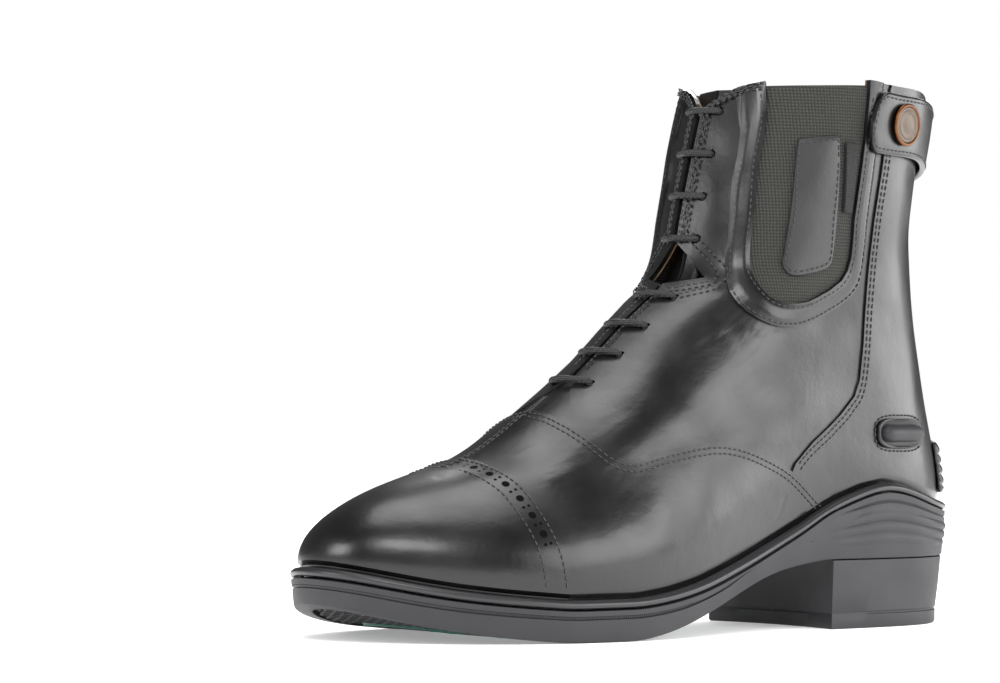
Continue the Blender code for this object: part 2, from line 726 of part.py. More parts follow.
def make_zip():
    """Makes the closed zip in the slot down the back, with its raised coil."""
    half = ZIP_WIDTH / 2
    profile = (
        (-half, -1.3), (-half, -0.2), (-0.2 * half, 0.0), (-0.14 * half, 0.5),
        (0.14 * half, 0.5), (0.2 * half, 0.0), (half, -0.2), (half, -1.3),
    )
    loops = []
    for height in np.linspace(ZIP_FOOT * SHAFT_HEIGHT + GAP, collar_height(np.array([pi]))[0] - 1.5 * MM, 14):
        level = level_at(pi, height)
        middle = surface(pi, level)
        out = normals(pi, level)
        loops.append([middle + out * (lift * MM) + np.array((0, wide, 0)) for wide, lift in profile])
    return solid("zip", loops)


def make_gusset(side, name):
    """Makes one elastic panel, set into the hole in the upper."""
    outline = smooth(scaled(GUSSET_EDGE), 3)
    middle = np.array((0.325, 0.8)) * (SOLE_LENGTH, SHAFT_HEIGHT)
    ahead = np.gradient(outline, axis=0)
    inward = np.stack([ahead[:, 1], -ahead[:, 0]], 1)
    inward /= np.linalg.norm(inward, axis=1, keepdims=True)
    inward *= np.sign((inward * (middle - outline)).sum(1, keepdims=True))
    outline = outline + inward * GAP * 2.2
    lowest = int(outline[:, 1].argmin())
    front = outline[: lowest + 1][::-1]
    back = outline[lowest:]
    head = 0.9965 * SHAFT_HEIGHT
    rows = []
    foot = outline[lowest, 1]
    for share in (0.004, 0.018, 0.045, 0.09, 0.16, 0.26, 0.40, 0.55, 0.70, 0.85, 1.0):
        z = foot + (head - foot) * share
        ends = (np.interp(z, front[:, 1], front[:, 0]), np.interp(z, back[:, 1], back[:, 0]))
        rows.append((ends[0] / SOLE_LENGTH, ends[1] / SOLE_LENGTH, z / SHAFT_HEIGHT))
    return strip(name, rows, (-1.7 * MM, -0.5 * MM), side, 6)


def strip(name, rows, lifts, side, wide=4):
    """Makes a piece laid on the outer face. Each row holds a front and a back place along, and a height."""
    loops = []
    for front, back, height in rows:
        us = np.linspace(front, back, wide) * SOLE_LENGTH
        zs = np.full(wide, height * SHAFT_HEIGHT)
        low = on_side(us, zs, side, np.full(wide, lifts[0]))
        high = on_side(us, zs, side, np.full(wide, lifts[1]))
        loops.append(np.concatenate([low, high[::-1]]))
    return solid(name, loops)


PATCH = (
    (0.3435, 0.2955, 0.894), (0.3455, 0.2945, 0.880), (0.353, 0.295, 0.800), (0.361, 0.2965, 0.720),
    (0.3685, 0.2985, 0.673), (0.366, 0.309, 0.659), (0.355, 0.332, 0.648),
)
LABEL = ((0.285, 0.268, 0.892), (0.283, 0.2675, 0.830), (0.2835, 0.2685, 0.765))


def make_insole():
    """Makes the insole, inside the foot of the upper."""
    inset = LEATHER + 2.5 * GAP
    low = outside(columns, rims * 0.02, np.full(COLUMNS, -inset))
    low[:, 2] = bed(along(low)) + GAP
    level = level_at(columns, low[:, 2] + 0.5 * SOLE_THICKNESS)
    high = outside(columns, level, np.full(COLUMNS, -inset))
    high[:, 2] = bed(along(high)) + GAP + 0.5 * SOLE_THICKNESS
    return solid("insole", [low, high])


def make_tongue():
    """Makes the tongue, under the throat and clear of the cord's inner runs."""
    depth = LEATHER + CORD + 5 * GAP
    thick = 0.8 * LEATHER
    shares = np.array([-1, -0.78, -0.55, -0.3, 0.3, 0.55, 0.78, 1])
    loops = []
    for level in np.concatenate([np.linspace(4.6, 8.2, 7), np.linspace(8.8, 12.6, 6)]):
        half = np.interp(level, (4.6, 6, 9, 13), (0.55, 0.62, 0.62, 0.70))
        angle = shares * half
        deep = np.interp(level, (4.6, 5.6), (LEATHER + 2 * GAP, depth))
        out = outside(angle, np.full(8, level), np.full(8, -deep))
        low = outside(angle, np.full(8, level), np.full(8, -deep - thick))
        loops.append(np.concatenate([out, low[::-1]]))
    return solid("tongue", loops)


def make_lace():
    """Makes the elastic cord, as bars over the ridge joined by runs inside."""
    radius = CORD / 2
    inner = -(LEATHER + radius + GAP)
    bar = (
        (1, inner), (1, -0.3 * LEATHER), (0.98, radius + 0.5 * GAP), (0.80, radius + 2.2 * GAP),
        (0.40, radius + 2.5 * GAP), (0, radius + 3 * GAP), (-0.40, radius + 2.5 * GAP),
        (-0.80, radius + 2.2 * GAP), (-0.98, radius + 0.5 * GAP), (-1, -0.3 * LEATHER), (-1, inner),
    )
    path = []
    side = -1
    for row, pair in enumerate(EYELETS):
        height = pair.height * SHAFT_HEIGHT
        angle = across(height, pair.spread * BALL_WIDTH)
        for share, reach in bar:
            turn = angle * share * -side
            path.append(outside(turn, level_at(turn, height), reach))
        if row + 1 < len(EYELETS):
            below = EYELETS[row + 1]
            for share in (0.33, 0.67):
                middle = height + (below.height * SHAFT_HEIGHT - height) * share
                half = pair.spread + (below.spread - pair.spread) * share
                turn = across(middle, half * BALL_WIDTH) * side
                path.append(outside(turn, level_at(turn, middle), inner - 0.5 * GAP))
        side = -side
    return rod(path, radius, 6, "lace")


STRAP_THICK = 0.0020
STRAP_LIFT = 1.9 * OVERLAY + 1.2 * GAP


def make_strap():
    """Makes the strap round the back of the collar, with its rounded outer end."""
    end = 0.252
    spread = SOLE_LENGTH * end
    outer_angle = float(place(spread, 0.93 * SHAFT_HEIGHT, -1)[0])
    inner_angle = 2 * pi - outer_angle
    turns = np.linspace(outer_angle, inner_angle, 25)
    turns = np.concatenate([[turns[0] + 0.004, turns[0] + 0.03, turns[0] + 0.08], turns[1:]])
    loops = []
    for number, turn in enumerate(turns):
        top = collar_height(np.array([turn]))[0] - 0.0030
        low = top - 0.0212 - 0.0006 * np.cos(turn)
        middle = (top + low) / 2
        height = (top - low) / 2
        if number < 3:
            height *= (0.45, 0.78, 0.96)[number]
        back = np.exp(-(((turn - pi) / 0.35) ** 2))
        lift = STRAP_LIFT + 1.0 * MM * back
        section = [(-1, 0), (0, 0), (1, 0), (1, 1), (0, 1), (-1, 1)]
        row = []
        for high, out in section:
            level = level_at(turn, middle + high * height)
            row.append(outside(turn, level, lift + out * STRAP_THICK))
        loops.append(row)
    return solid("strap", loops)


SNAP_AT = (0.192, 0.934)
SNAP_WIDTH = 0.0150


def make_snap():
    """Makes the press stud's cap, a low dome with a rim and a ring."""
    angle, level = place(SNAP_AT[0] * SOLE_LENGTH, SNAP_AT[1] * SHAFT_HEIGHT, -1)
    middle = surface(angle, level)
    out = normals(angle, level)
    flat = np.cross(out, (0, 0, 1.0))
    flat /= np.linalg.norm(flat)
    up = np.cross(flat, out)
    base = STRAP_LIFT + STRAP_THICK + 2 * GAP
    profile = ((0.90, 0.0), (1.0, 0.5), (0.97, 1.3), (0.86, 1.7), (0.76, 1.35), (0.60, 1.45), (0.30, 1.75))
    turns = np.arange(28) * 2 * pi / 28
    loops = []
    for share, lift in profile:
        circle = np.outer(np.cos(turns), flat) + np.outer(np.sin(turns), up)
        loops.append(middle + out * (base + lift * MM) + circle * SNAP_WIDTH / 2 * share)
    return solid("snap", loops)


TAB_RISE = 0.0036
TAB_HEIGHT = 0.0188


def make_heel_tab():
    """Makes the ribbed stop at the back of the heel, over the bead."""
    low = rim_heights[COLUMNS // 2] + WELT_HEIGHT + TAB_RISE
    high = low + TAB_HEIGHT
    profile = [(0.0, 0.0), (0.0, 0.6), (0.08, 1.0)]
    for rib in range(4):
        start = 0.14 + rib * 0.2
        profile += [(start, 0.72), (start + 0.06, 1.0), (start + 0.12, 1.0)]
    profile += [(0.95, 0.75), (1.0, 0.4), (1.0, 0.0), (0.75, 0.0), (0.5, 0.0), (0.25, 0.0)]
    loops = []
    for turn in np.linspace(-1, 1, 11):
        fall = np.sqrt(max(1 - abs(turn) ** 3, 0.12))
        row = []
        for share, lift in profile:
            angle = pi + turn * 0.42
            height = low + (high - low) * (0.5 + (share - 0.5) * (0.82 + 0.18 * fall))
            level = level_at(angle, height)
            row.append(outside(angle, level, OVERLAY + GAP + 3.2 * MM * lift * fall))
        loops.append(row)
    return solid("heel_tab", loops)


def make_spur_rest(side, name):
    """Makes one rounded spur rest on its oval base."""
    start = np.array((0.205, 0.360))
    finish = np.array((0.108, 0.360))
    loops = []
    for share in np.linspace(0, 1, 13):
        place_at = (start + (finish - start) * share) * (SOLE_LENGTH, SHAFT_HEIGHT)
        oval = 5.2 * MM * max(np.sqrt(max(1 - (2 * share - 1) ** 4, 0)), 0.35)
        inner = (2 * share - 1) / 0.78
        tube = 3.0 * MM * np.sqrt(max(1 - inner**4, 0)) if abs(inner) < 1 else 0.0
        tube = max(tube, 0.6 * MM)
        tall = 0.9 * MM + 2.4 * MM * (tube / (3.0 * MM) if tube > 0.7 * MM else 0)
        heights = np.array([-oval, -oval, -tube, -0.6 * tube, 0, 0.6 * tube, tube, oval, oval])
        lifts = np.array([0, 0.9 * MM, 0.9 * MM, 0.25 * MM + 0.75 * tall, tall, 0.25 * MM + 0.75 * tall, 0.9 * MM, 0.9 * MM, 0])
        us = np.full(9, place_at[0])
        loops.append(on_side(us, place_at[1] + heights, side, OVERLAY + GAP + lifts))
    return solid(name, loops)


def ground(points, lift=0.0):
    """Puts points on the tread's height."""
    points = np.array(points, float)
    points[:, 2] = tread(along(points)) + lift
    return points


def make_welt():
    """Makes the rolled bead round the foot, over the cup's edge."""
    section = ((0.0, 0.0), (0.0, 0.80), (0.30, 1.14), (0.68, 1.08), (0.96, 0.62), (0.90, 0.0))
    loops = []
    for share, reach in section:
        level = level_at(columns, rim_heights + GAP + share * WELT_HEIGHT)
        wide = GAP + reach * WELT_REACH
        loops.append(outside(columns, level, np.full(COLUMNS, wide)))
    return solid("welt", loops, closed=True)


# Rows of the cup's side, from the foot up. drop, depth: the groove under the bead in front, under the rim
# and in from the wall. share, lift: the ribs of the heel cup, as shares of the wall's height and out from
# it. All but share are in millimetres.
Wall = namedtuple("Wall", "drop depth share lift")
WALL = (
    Wall(2.9, 0.0, 0.20, 0.0), Wall(2.9, 0.0, 0.29, 0.7), Wall(2.9, 0.0, 0.38, 0.0), Wall(2.9, 0.0, 0.47, 0.7),
    Wall(2.5, 0.8, 0.56, 0.0), Wall(1.7, 0.8, 0.65, 0.7), Wall(1.3, 0.0, 0.74, 0.0),
)


def make_outsole():
    """Makes the cup: tread, wall with its groove and ribs, rim, and floor under the foot."""
    reach = GAP + WELT_REACH
    full = np.full(COLUMNS, reach)
    foot = outside(columns, rims * 0.35, full)
    edge = outside(columns, rims * 0.35, full - 0.9 * MM)
    loops = [ground(edge), ground(foot, 1.0 * MM)]
    share_along = along(surface(columns, rims)) / SOLE_LENGTH
    fade = np.clip((share_along - 0.44) / 0.08, 0, 1)
    behind = np.clip((0.36 - share_along) / 0.06, 0, 1)
    ribbed = np.clip(share_along / 0.05, 0, 1) * np.clip((0.30 - share_along) / 0.05, 0, 1)
    low = tread(share_along * SOLE_LENGTH) + 1.0 * MM
    for wall in WALL:
        front = rim_heights - wall.drop * MM * np.maximum(fade, 0.3)
        cup = low + (rim_heights - low) * wall.share
        level = level_at(columns, cup * behind + front * (1 - behind))
        loops.append(outside(columns, level, full + (wall.lift * ribbed - wall.depth * fade) * MM))
    loops.append(outside(columns, rims, full))
    loops.append(outside(columns, rims, np.full(COLUMNS, GAP)))
    loops.append(outside(columns, rims * 0.5, np.full(COLUMNS, 1.8 * GAP)))
    floor = outside(columns, rims * 0.0, np.full(COLUMNS, 1.8 * GAP))
    floor[:, 2] = bed(along(floor)) - 0.5 * GAP
    loops.append(floor)
    outsole = solid("outsole", loops)
    outsole = combine(outsole, tread_recess(), "DIFFERENCE")
    return outsole


def sole_outline(reach):
    """Returns the sole's outline from above, at a reach from the leather, with its angles."""
    return outside(columns, rims * 0.35, np.full(COLUMNS, reach))


PANEL_BACK = 0.640


def tread_recess():
    """Makes the cutter for the sunk forefoot panel, with its rounded back end."""
    outline = sole_outline(GAP + WELT_REACH - 6.5 * MM)
    half = COLUMNS // 2
    keep = [i for i in range(half) if along(outline[i]) > (PANEL_BACK + 0.045) * SOLE_LENGTH]
    outer = [outline[i] for i in keep]
    inner = [outline[-i] for i in keep[1:]]
    for share in (0.80, 0.45):
        u = SOLE_LENGTH * (PANEL_BACK + 0.045 * (1 - np.sqrt(1 - share**2)))
        last_outer = outline[keep[-1]]
        last_inner = outline[-keep[-1]]
        middle = (last_outer[1] + last_inner[1]) / 2
        for chain, last in ((outer, last_outer), (inner, last_inner)):
            chain.append(np.array((SOLE_LENGTH / 2 - u, middle + (last[1] - middle) * share, 0)))
    tip = np.array((SOLE_LENGTH * (0.5 - PANEL_BACK), (outer[-1][1] + inner[-1][1]) / 2, 0))
    ring = np.array(outer + [tip] + inner[::-1])
    return solid("recess", [ground(ring, -6 * MM), ground(ring, 1.6 * MM)])


def make_heel():
    """Makes the heel block under the cup, drawn in behind and hollowed at its front."""
    breast = 0.288 * SOLE_LENGTH
    outline = sole_outline(GAP + WELT_REACH - 0.4 * MM)
    fine = [i for i in range(COLUMNS) if along(outline[i]) < breast - 2 * MM]
    back = outline[fine]
    lateral = np.interp(-breast, -along(outline[: COLUMNS // 2]), outline[: COLUMNS // 2, 1])
    inner_half = outline[COLUMNS // 2 :][::-1]
    medial = np.interp(-breast, -along(inner_half), inner_half[:, 1])
    front = []
    for share in np.linspace(0, 1, 7):
        bow = 0.016 * SOLE_LENGTH * (1 - (2 * share - 1) ** 2)
        front.append((SOLE_LENGTH / 2 - breast + bow, medial + (lateral - medial) * share, 0))
    ring = np.concatenate([back, front])
    start = SOLE_LENGTH / 2 - breast
    loops = []
    for height, drawn in ((0, 0.960), (0.04, 0.972), (1, 1.0)):
        loop = ring.copy()
        loop[:, 0] = start + (loop[:, 0] - start) * drawn
        loop[:, 1] = loop[:, 1] * (0.5 + 0.5 * drawn)
        loop[:, 2] = height * (HEEL_HEIGHT - GAP)
        loops.append(loop)
    return solid("heel", loops, flat_ends=True)


def tread_bar(name, centre, low, high, bow, wide):
    """Makes one coloured bar across the sunk panel."""
    loops = []
    for share in np.linspace(0, 1, 11):
        y = (low + (high - low) * share) * BALL_WIDTH
        u = (centre - bow * (2 * share - 1) ** 2) * SOLE_LENGTH
        half = wide / 2 * np.sqrt(max(1 - abs(2 * share - 1) ** 10, 0.2))
        x = SOLE_LENGTH / 2 - u
        loop = np.array([(x - half, y, 0), (x + half, y, 0), (x + half, y, 0), (x - half, y, 0)])
        loop[:, 2] = tread(along(loop)) + np.array((0.1, 0.1, 1.25, 1.25)) * MM
        loops.append(loop)
    return solid(name, loops)


def make_waist_bar():
    """Makes the long bar under the inner edge of the waist."""
    loops = []
    for share in np.linspace(0, 1, 12):
        u = (0.385 + 0.215 * share) * SOLE_LENGTH
        middle = (0.135 + 0.085 * share**2 - 0.02 * share) * BALL_WIDTH
        half = 2.2 * MM * np.sqrt(max(1 - abs(2 * share - 1) ** 8, 0.2))
        x = SOLE_LENGTH / 2 - u
        down = tread(u)
        loop = [(x, middle - half, down - 1.2 * MM), (x, middle + half, down - 1.2 * MM),
                (x, middle + half, down - GAP), (x, middle - half, down - GAP)]
        loops.append(loop)
    return solid("waist_bar", loops)


def make_plate():
    """Makes the bare oval plate under the waist."""
    loops = []
    for share in np.linspace(0, 1, 13):
        turn = pi * (0.04 + 0.92 * share)
        u = (0.505 - 0.052 * np.cos(turn)) * SOLE_LENGTH
        half = 0.105 * np.sin(turn) * BALL_WIDTH
        x = SOLE_LENGTH / 2 - u
        middle = -0.085 * BALL_WIDTH
        down = tread(u)
        loops.append([(x, middle - half, down - 1.1 * MM), (x, middle + half, down - 1.1 * MM),
                      (x, middle + half, down - GAP), (x, middle - half, down - GAP)])
    return solid("plate", loops)


PAINT = {
    "upper": ("#161616", 0.35),
    "outsole": ("#343437", 0.75),
    "heel": ("#343437", 0.75),
    "welt": ("#141415", 0.30),
    "insole": ("#8a6f50", 0.80),
    "tongue": ("#171717", 0.40),
    "lace": ("#222224", 0.70),
    "gusset_lateral": ("#33342f", 0.90),
    "gusset_medial": ("#33342f", 0.90),
    "patch_lateral": ("#1c1c1c", 0.38),
    "patch_medial": ("#1c1c1c", 0.38),
    "label_tab": ("#202022", 0.80),
    "strap": ("#161616", 0.38),
    "snap": ("#8a8078", 0.30),
    "zip": ("#1b1b1b", 0.60),
    "heel_tab": ("#1b1b1c", 0.60),
    "spur_rest_lateral": ("#1b1b1c", 0.45),
    "spur_rest_medial": ("#1b1b1c", 0.45),
    "bar_front": ("#0f7a66", 0.45),
    "bar_rear": ("#0f7a66", 0.45),
    "waist_bar": ("#0f7a66", 0.45),
    "plate": ("#0f7a66", 0.45),
}


def linear(code):
    """Returns a colour's linear values from its hex code."""
    parts = [int(code[i : i + 2], 16) / 255 for i in (1, 3, 5)]
    return [p / 12.92 if p <= 0.04045 else ((p + 0.055) / 1.055) ** 2.4 for p in parts]


def paint(thing):
    """Gives an object its own material."""
    code, rough = PAINT[thing.name]
    finish = bpy.data.materials.new(thing.name)
    finish.use_nodes = True
    shader = finish.node_tree.nodes["Principled BSDF"]
    shader.inputs["Base Color"].default_value = (*linear(code), 1)
    shader.inputs["Roughness"].default_value = rough
    shader.inputs["Metallic"].default_value = 1.0 if thing.name == "snap" else 0.0
    thing.data.materials.clear()
    thing.data.materials.append(finish)


def centre():
    """Moves every node alike, so that the boot's box stands over the origin."""
    spots = [vertex.co.copy() for thing in bpy.context.scene.objects for vertex in thing.data.vertices]
    low = Vector([min(spot[axis] for spot in spots) for axis in range(3)])
    high = Vector([max(spot[axis] for spot in spots) for axis in range(3)])
    middle = (low + high) / 2
    for thing in bpy.context.scene.objects:
        thing.data.transform(Matrix.Translation((-middle.x, -middle.y, -low.z)))


def build():
    """Builds every node of the boot."""
    for old in list(bpy.data.objects):
        bpy.data.objects.remove(old)
    make_outsole()
    make_heel()
    make_welt()
    make_insole()
    make_upper()
    make_tongue()
    make_lace()
    for side, word in ((-1, "lateral"), (1, "medial")):
        make_gusset(side, "gusset_" + word)
        strip("patch_" + word, PATCH, (-0.5 * MM + GAP, 0.7 * MM), side)
        make_spur_rest(side, "spur_rest_" + word)
    strip("label_tab", LABEL, (-0.5 * MM + GAP, 0.8 * MM), -1)
    make_zip()
    make_strap()
    make_snap()
    make_heel_tab()
    tread_bar("bar_front", 0.875, -0.22, 0.36, 0.030, 3.4 * MM)
    tread_bar("bar_rear", 0.775, -0.33, 0.37, 0.035, 3.4 * MM)
    make_waist_bar()
    make_plate()
    centre()
    for thing in bpy.context.scene.objects:
        paint(thing)


build()
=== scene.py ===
"""Left paddock boot, dressed: black leather upper on its last, elastic, cord, press stud and rubber cup sole.

The frame has the toe along -X, the outer side of the foot along -Y and up along +Z. Places on the boot are
given as angles round it, from the front ridge along the outer side, and as levels up it.
"""

from __future__ import annotations

import logging
import math
from dataclasses import dataclass, field
from enum import Enum
from math import pi
from typing import Callable, NamedTuple, Optional, Sequence

import bmesh
import bpy
import numpy as np
from mathutils import Matrix, Vector
from mathutils.kdtree import KDTree
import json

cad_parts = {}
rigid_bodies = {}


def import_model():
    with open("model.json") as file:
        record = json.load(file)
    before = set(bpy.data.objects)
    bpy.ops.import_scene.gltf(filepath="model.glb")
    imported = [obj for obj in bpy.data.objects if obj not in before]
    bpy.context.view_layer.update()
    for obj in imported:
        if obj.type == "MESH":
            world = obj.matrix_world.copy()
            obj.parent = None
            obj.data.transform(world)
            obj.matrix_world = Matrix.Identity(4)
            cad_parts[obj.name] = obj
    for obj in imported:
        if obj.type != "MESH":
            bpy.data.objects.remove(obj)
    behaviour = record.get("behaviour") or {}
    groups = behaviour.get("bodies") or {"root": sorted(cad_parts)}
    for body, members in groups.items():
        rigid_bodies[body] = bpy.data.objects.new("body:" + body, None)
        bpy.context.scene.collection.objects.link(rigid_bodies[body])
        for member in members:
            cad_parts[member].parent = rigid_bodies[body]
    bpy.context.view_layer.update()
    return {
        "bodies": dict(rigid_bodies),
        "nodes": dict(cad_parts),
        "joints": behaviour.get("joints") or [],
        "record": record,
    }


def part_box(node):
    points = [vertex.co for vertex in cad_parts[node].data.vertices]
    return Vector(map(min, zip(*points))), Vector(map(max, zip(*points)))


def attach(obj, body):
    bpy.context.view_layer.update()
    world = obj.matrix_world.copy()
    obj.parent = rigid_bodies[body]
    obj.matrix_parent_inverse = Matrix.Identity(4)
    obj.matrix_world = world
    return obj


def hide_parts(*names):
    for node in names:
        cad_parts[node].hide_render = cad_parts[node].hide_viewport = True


LOG = logging.getLogger("paddock_boot")

MM = 0.001
SOLE_LENGTH = 0.276
BALL_WIDTH = 0.089
SHAFT_HEIGHT = 0.1875
HEEL_HEIGHT = 0.024
SOLE_THICKNESS = 0.0052
CUP_HEIGHT = 0.0188
TOE_SPRING = 0.0125
LEATHER = 0.0020
OVERLAY = 0.0008
GAP = 0.0003
WELT_REACH = 0.0034
WELT_HEIGHT = 0.0030
STATIONS = 9
CAD_COLUMNS = 56


class Side(Enum):
    """A side of the foot, by the sign of its Y."""

    OUTER = -1
    INNER = 1


class Ring(NamedTuple):
    """One ring of the outer face: its ends, and its half widths over the sine of the angle, as shares."""

    front: float
    front_z: float
    back: float
    back_z: float
    follow: float
    ridge: float
    toe: float
    cap: float
    ball: float
    waist: float
    arch: float
    ankle: float
    counter: float
    seam: float


RINGS = (
    Ring(0.9800, 0.0970, 0.0190, 0.1525, 1.00, 0.618, 0.602, 0.590, 0.515, 0.366, 0.322, 0.452, 0.574, 0.620),
    Ring(0.9870, 0.1440, 0.0115, 0.2240, 1.00, 0.640, 0.629, 0.611, 0.537, 0.402, 0.350, 0.466, 0.588, 0.634),
    Ring(0.9670, 0.1950, 0.0150, 0.2880, 0.80, 0.618, 0.612, 0.598, 0.535, 0.416, 0.370, 0.470, 0.588, 0.628),
    Ring(0.9050, 0.2480, 0.0260, 0.3520, 0.45, 0.440, 0.455, 0.475, 0.463, 0.397, 0.375, 0.462, 0.572, 0.605),
    Ring(0.8180, 0.2860, 0.0385, 0.4160, 0.20, 0.425, 0.425, 0.458, 0.422, 0.382, 0.374, 0.456, 0.548, 0.578),
    Ring(0.7480, 0.3300, 0.0505, 0.4850, 0.05, 0.420, 0.435, 0.460, 0.396, 0.370, 0.373, 0.448, 0.530, 0.558),
    Ring(0.6750, 0.4020, 0.0620, 0.5540, 0.00, 0.310, 0.385, 0.408, 0.376, 0.361, 0.372, 0.440, 0.511, 0.537),
    Ring(0.5980, 0.4830, 0.0720, 0.6240, 0.00, 0.205, 0.335, 0.380, 0.370, 0.357, 0.373, 0.435, 0.499, 0.522),
    Ring(0.5270, 0.5690, 0.0795, 0.6930, 0.00, 0.160, 0.308, 0.364, 0.366, 0.360, 0.378, 0.429, 0.488, 0.506),
    Ring(0.4690, 0.6400, 0.0838, 0.7520, 0.00, 0.125, 0.280, 0.361, 0.377, 0.373, 0.387, 0.427, 0.475, 0.489),
    Ring(0.4500, 0.7300, 0.0826, 0.8110, 0.00, 0.115, 0.278, 0.373, 0.393, 0.391, 0.401, 0.442, 0.487, 0.494),
    Ring(0.4350, 0.8210, 0.0775, 0.8700, 0.00, 0.115, 0.282, 0.381, 0.405, 0.405, 0.416, 0.450, 0.494, 0.506),
    Ring(0.4190, 0.9120, 0.0710, 0.9300, 0.00, 0.115, 0.287, 0.388, 0.413, 0.416, 0.425, 0.461, 0.500, 0.511),
    Ring(0.3950, 1.0300, 0.0650, 1.0000, 0.00, 0.115, 0.290, 0.394, 0.421, 0.424, 0.435, 0.466, 0.506, 0.517),
)


class Foot(NamedTuple):
    """One place along the foot: the last's swing and the sole's heights, as shares."""

    along: float
    swing: float
    heel_rise: float
    toe_rise: float
    bed: float
    rim: float


FOOT = (
    Foot(0.000, 0.000, 1.000, 0.000, 0.83, 0.580),
    Foot(0.050, 0.000, 1.000, 0.000, 0.83, 0.617),
    Foot(0.100, -0.004, 1.000, 0.000, 0.83, 0.735),
    Foot(0.150, -0.009, 1.000, 0.000, 0.83, 0.915),
    Foot(0.200, -0.018, 1.000, 0.000, 0.83, 0.985),
    Foot(0.240, -0.027, 1.000, 0.000, 0.83, 0.880),
    Foot(0.300, -0.037, 1.000, 0.000, 0.84, 0.610),
    Foot(0.340, -0.042, 0.945, 0.000, 0.86, 0.400),
    Foot(0.390, -0.045, 0.850, 0.000, 0.90, 0.225),
    Foot(0.435, -0.046, 0.700, 0.000, 0.94, 0.170),
    Foot(0.490, -0.043, 0.480, 0.000, 1.00, 0.180),
    Foot(0.550, -0.034, 0.255, 0.000, 1.00, 0.220),
    Foot(0.600, -0.020, 0.105, 0.000, 1.00, 0.265),
    Foot(0.645, -0.005, 0.022, 0.000, 1.00, 0.290),
    Foot(0.670, 0.005, 0.000, 0.000, 1.00, 0.295),
    Foot(0.740, 0.028, 0.000, 0.000, 1.00, 0.290),
    Foot(0.820, 0.052, 0.000, 0.130, 1.00, 0.280),
    Foot(0.905, 0.073, 0.000, 0.420, 1.00, 0.255),
    Foot(0.960, 0.083, 0.000, 0.720, 1.00, 0.240),
    Foot(1.000, 0.088, 0.000, 1.000, 1.00, 0.215),
)

# Side outlines of the seams, as shares of the length from the heel and of the shaft height.
VAMP_SEAM = (
    (0.690, 0.420), (0.684, 0.393), (0.6785, 0.364), (0.669, 0.338), (0.655, 0.317), (0.631, 0.309),
    (0.583, 0.325), (0.515, 0.340), (0.464, 0.335), (0.406, 0.311), (0.363, 0.285), (0.305, 0.232),
)
CAP_SEAM = (
    (0.788, 0.380), (0.787, 0.304), (0.785, 0.288), (0.777, 0.256), (0.771, 0.197), (0.765, 0.144),
    (0.752, 0.050),
)
BACK_SEAM = (
    (0.206, 1.100), (0.213, 0.900), (0.222, 0.752), (0.226, 0.608), (0.236, 0.459), (0.259, 0.412),
    (0.295, 0.373), (0.363, 0.304), (0.395, 0.200),
)
BACK_SEAM_FOOT = 0.0545
GUSSET_EDGE = (
    (0.362, 1.080), (0.373, 0.939), (0.388, 0.843), (0.3985, 0.741), (0.4055, 0.672), (0.405, 0.632),
    (0.394, 0.603), (0.371, 0.594), (0.344, 0.597), (0.319, 0.608), (0.275, 0.640), (0.261, 0.683),
    (0.263, 0.752), (0.257, 0.853), (0.250, 0.981), (0.247, 1.080),
)
BAND_EDGE = (
    (0.382, 1.080), (0.396, 0.905), (0.410, 0.820), (0.4275, 0.672), (0.439, 0.613), (0.426, 0.577),
    (0.3985, 0.555), (0.375, 0.551), (0.344, 0.556), (0.303, 0.576), (0.254, 0.613), (0.2365, 0.660),
    (0.236, 0.752), (0.232, 0.853), (0.225, 0.981), (0.222, 1.080),
)
COLLAR = (0.948, 0.985, 1.004, 1.010, 1.008, 1.003, 0.993, 0.972, 0.962)


Curve = Callable[[np.ndarray], np.ndarray]


def natural_curve(xs: Sequence[float], ys: np.ndarray) -> Curve:
    """Makes a natural cubic spline through points.

    Args:
        xs: where the points lie, rising.
        ys: their values, one column or many.

    Returns:
        A function from places to values.
    """
    xs = np.asarray(xs, float)
    ys = np.asarray(ys, float)
    step = np.diff(xs)
    count = len(xs)
    system = np.eye(count)
    right = np.zeros_like(ys)
    slope = (np.diff(ys, axis=0).T / step).T
    for i in range(1, count - 1):
        system[i, i - 1] = step[i - 1]
        system[i, i] = 2 * (step[i - 1] + step[i])
        system[i, i + 1] = step[i]
        right[i] = 6 * (slope[i] - slope[i - 1])
    bend = np.linalg.solve(system, right)

    def at(x: np.ndarray) -> np.ndarray:
        """Returns the spline's values."""
        x = np.clip(np.asarray(x, float), xs[0], xs[-1])
        i = np.clip(np.searchsorted(xs, x) - 1, 0, count - 2)
        left = (xs[i + 1] - x) / step[i]
        rest = 1 - left
        lift = step[i] ** 2 / 6
        if ys.ndim == 2:
            left, rest, lift = left[..., None], rest[..., None], lift[..., None]
        low = (left**3 - left) * bend[i] * lift + left * ys[i]
        return low + (rest**3 - rest) * bend[i + 1] * lift + rest * ys[i + 1]

    return at


def sampled(function: Curve, end: float, count: int) -> Curve:
    """Makes a quick stand-in for a function, read from even samples.

    Args:
        function: what to sample, from 0.
        end: where the samples end.
        count: how many there are.

    Returns:
        A function that reads between the samples.
    """
    samples = function(np.linspace(0, end, count))

    def at(x: np.ndarray) -> np.ndarray:
        """Returns values between the samples."""
        spot = np.clip(np.asarray(x, float) * ((count - 1) / end), 0, count - 1.000001)
        first = spot.astype(int)
        rest = spot - first
        if samples.ndim == 2:
            rest = rest[..., None]
        return samples[first] * (1 - rest) + samples[first + 1] * rest

    return at


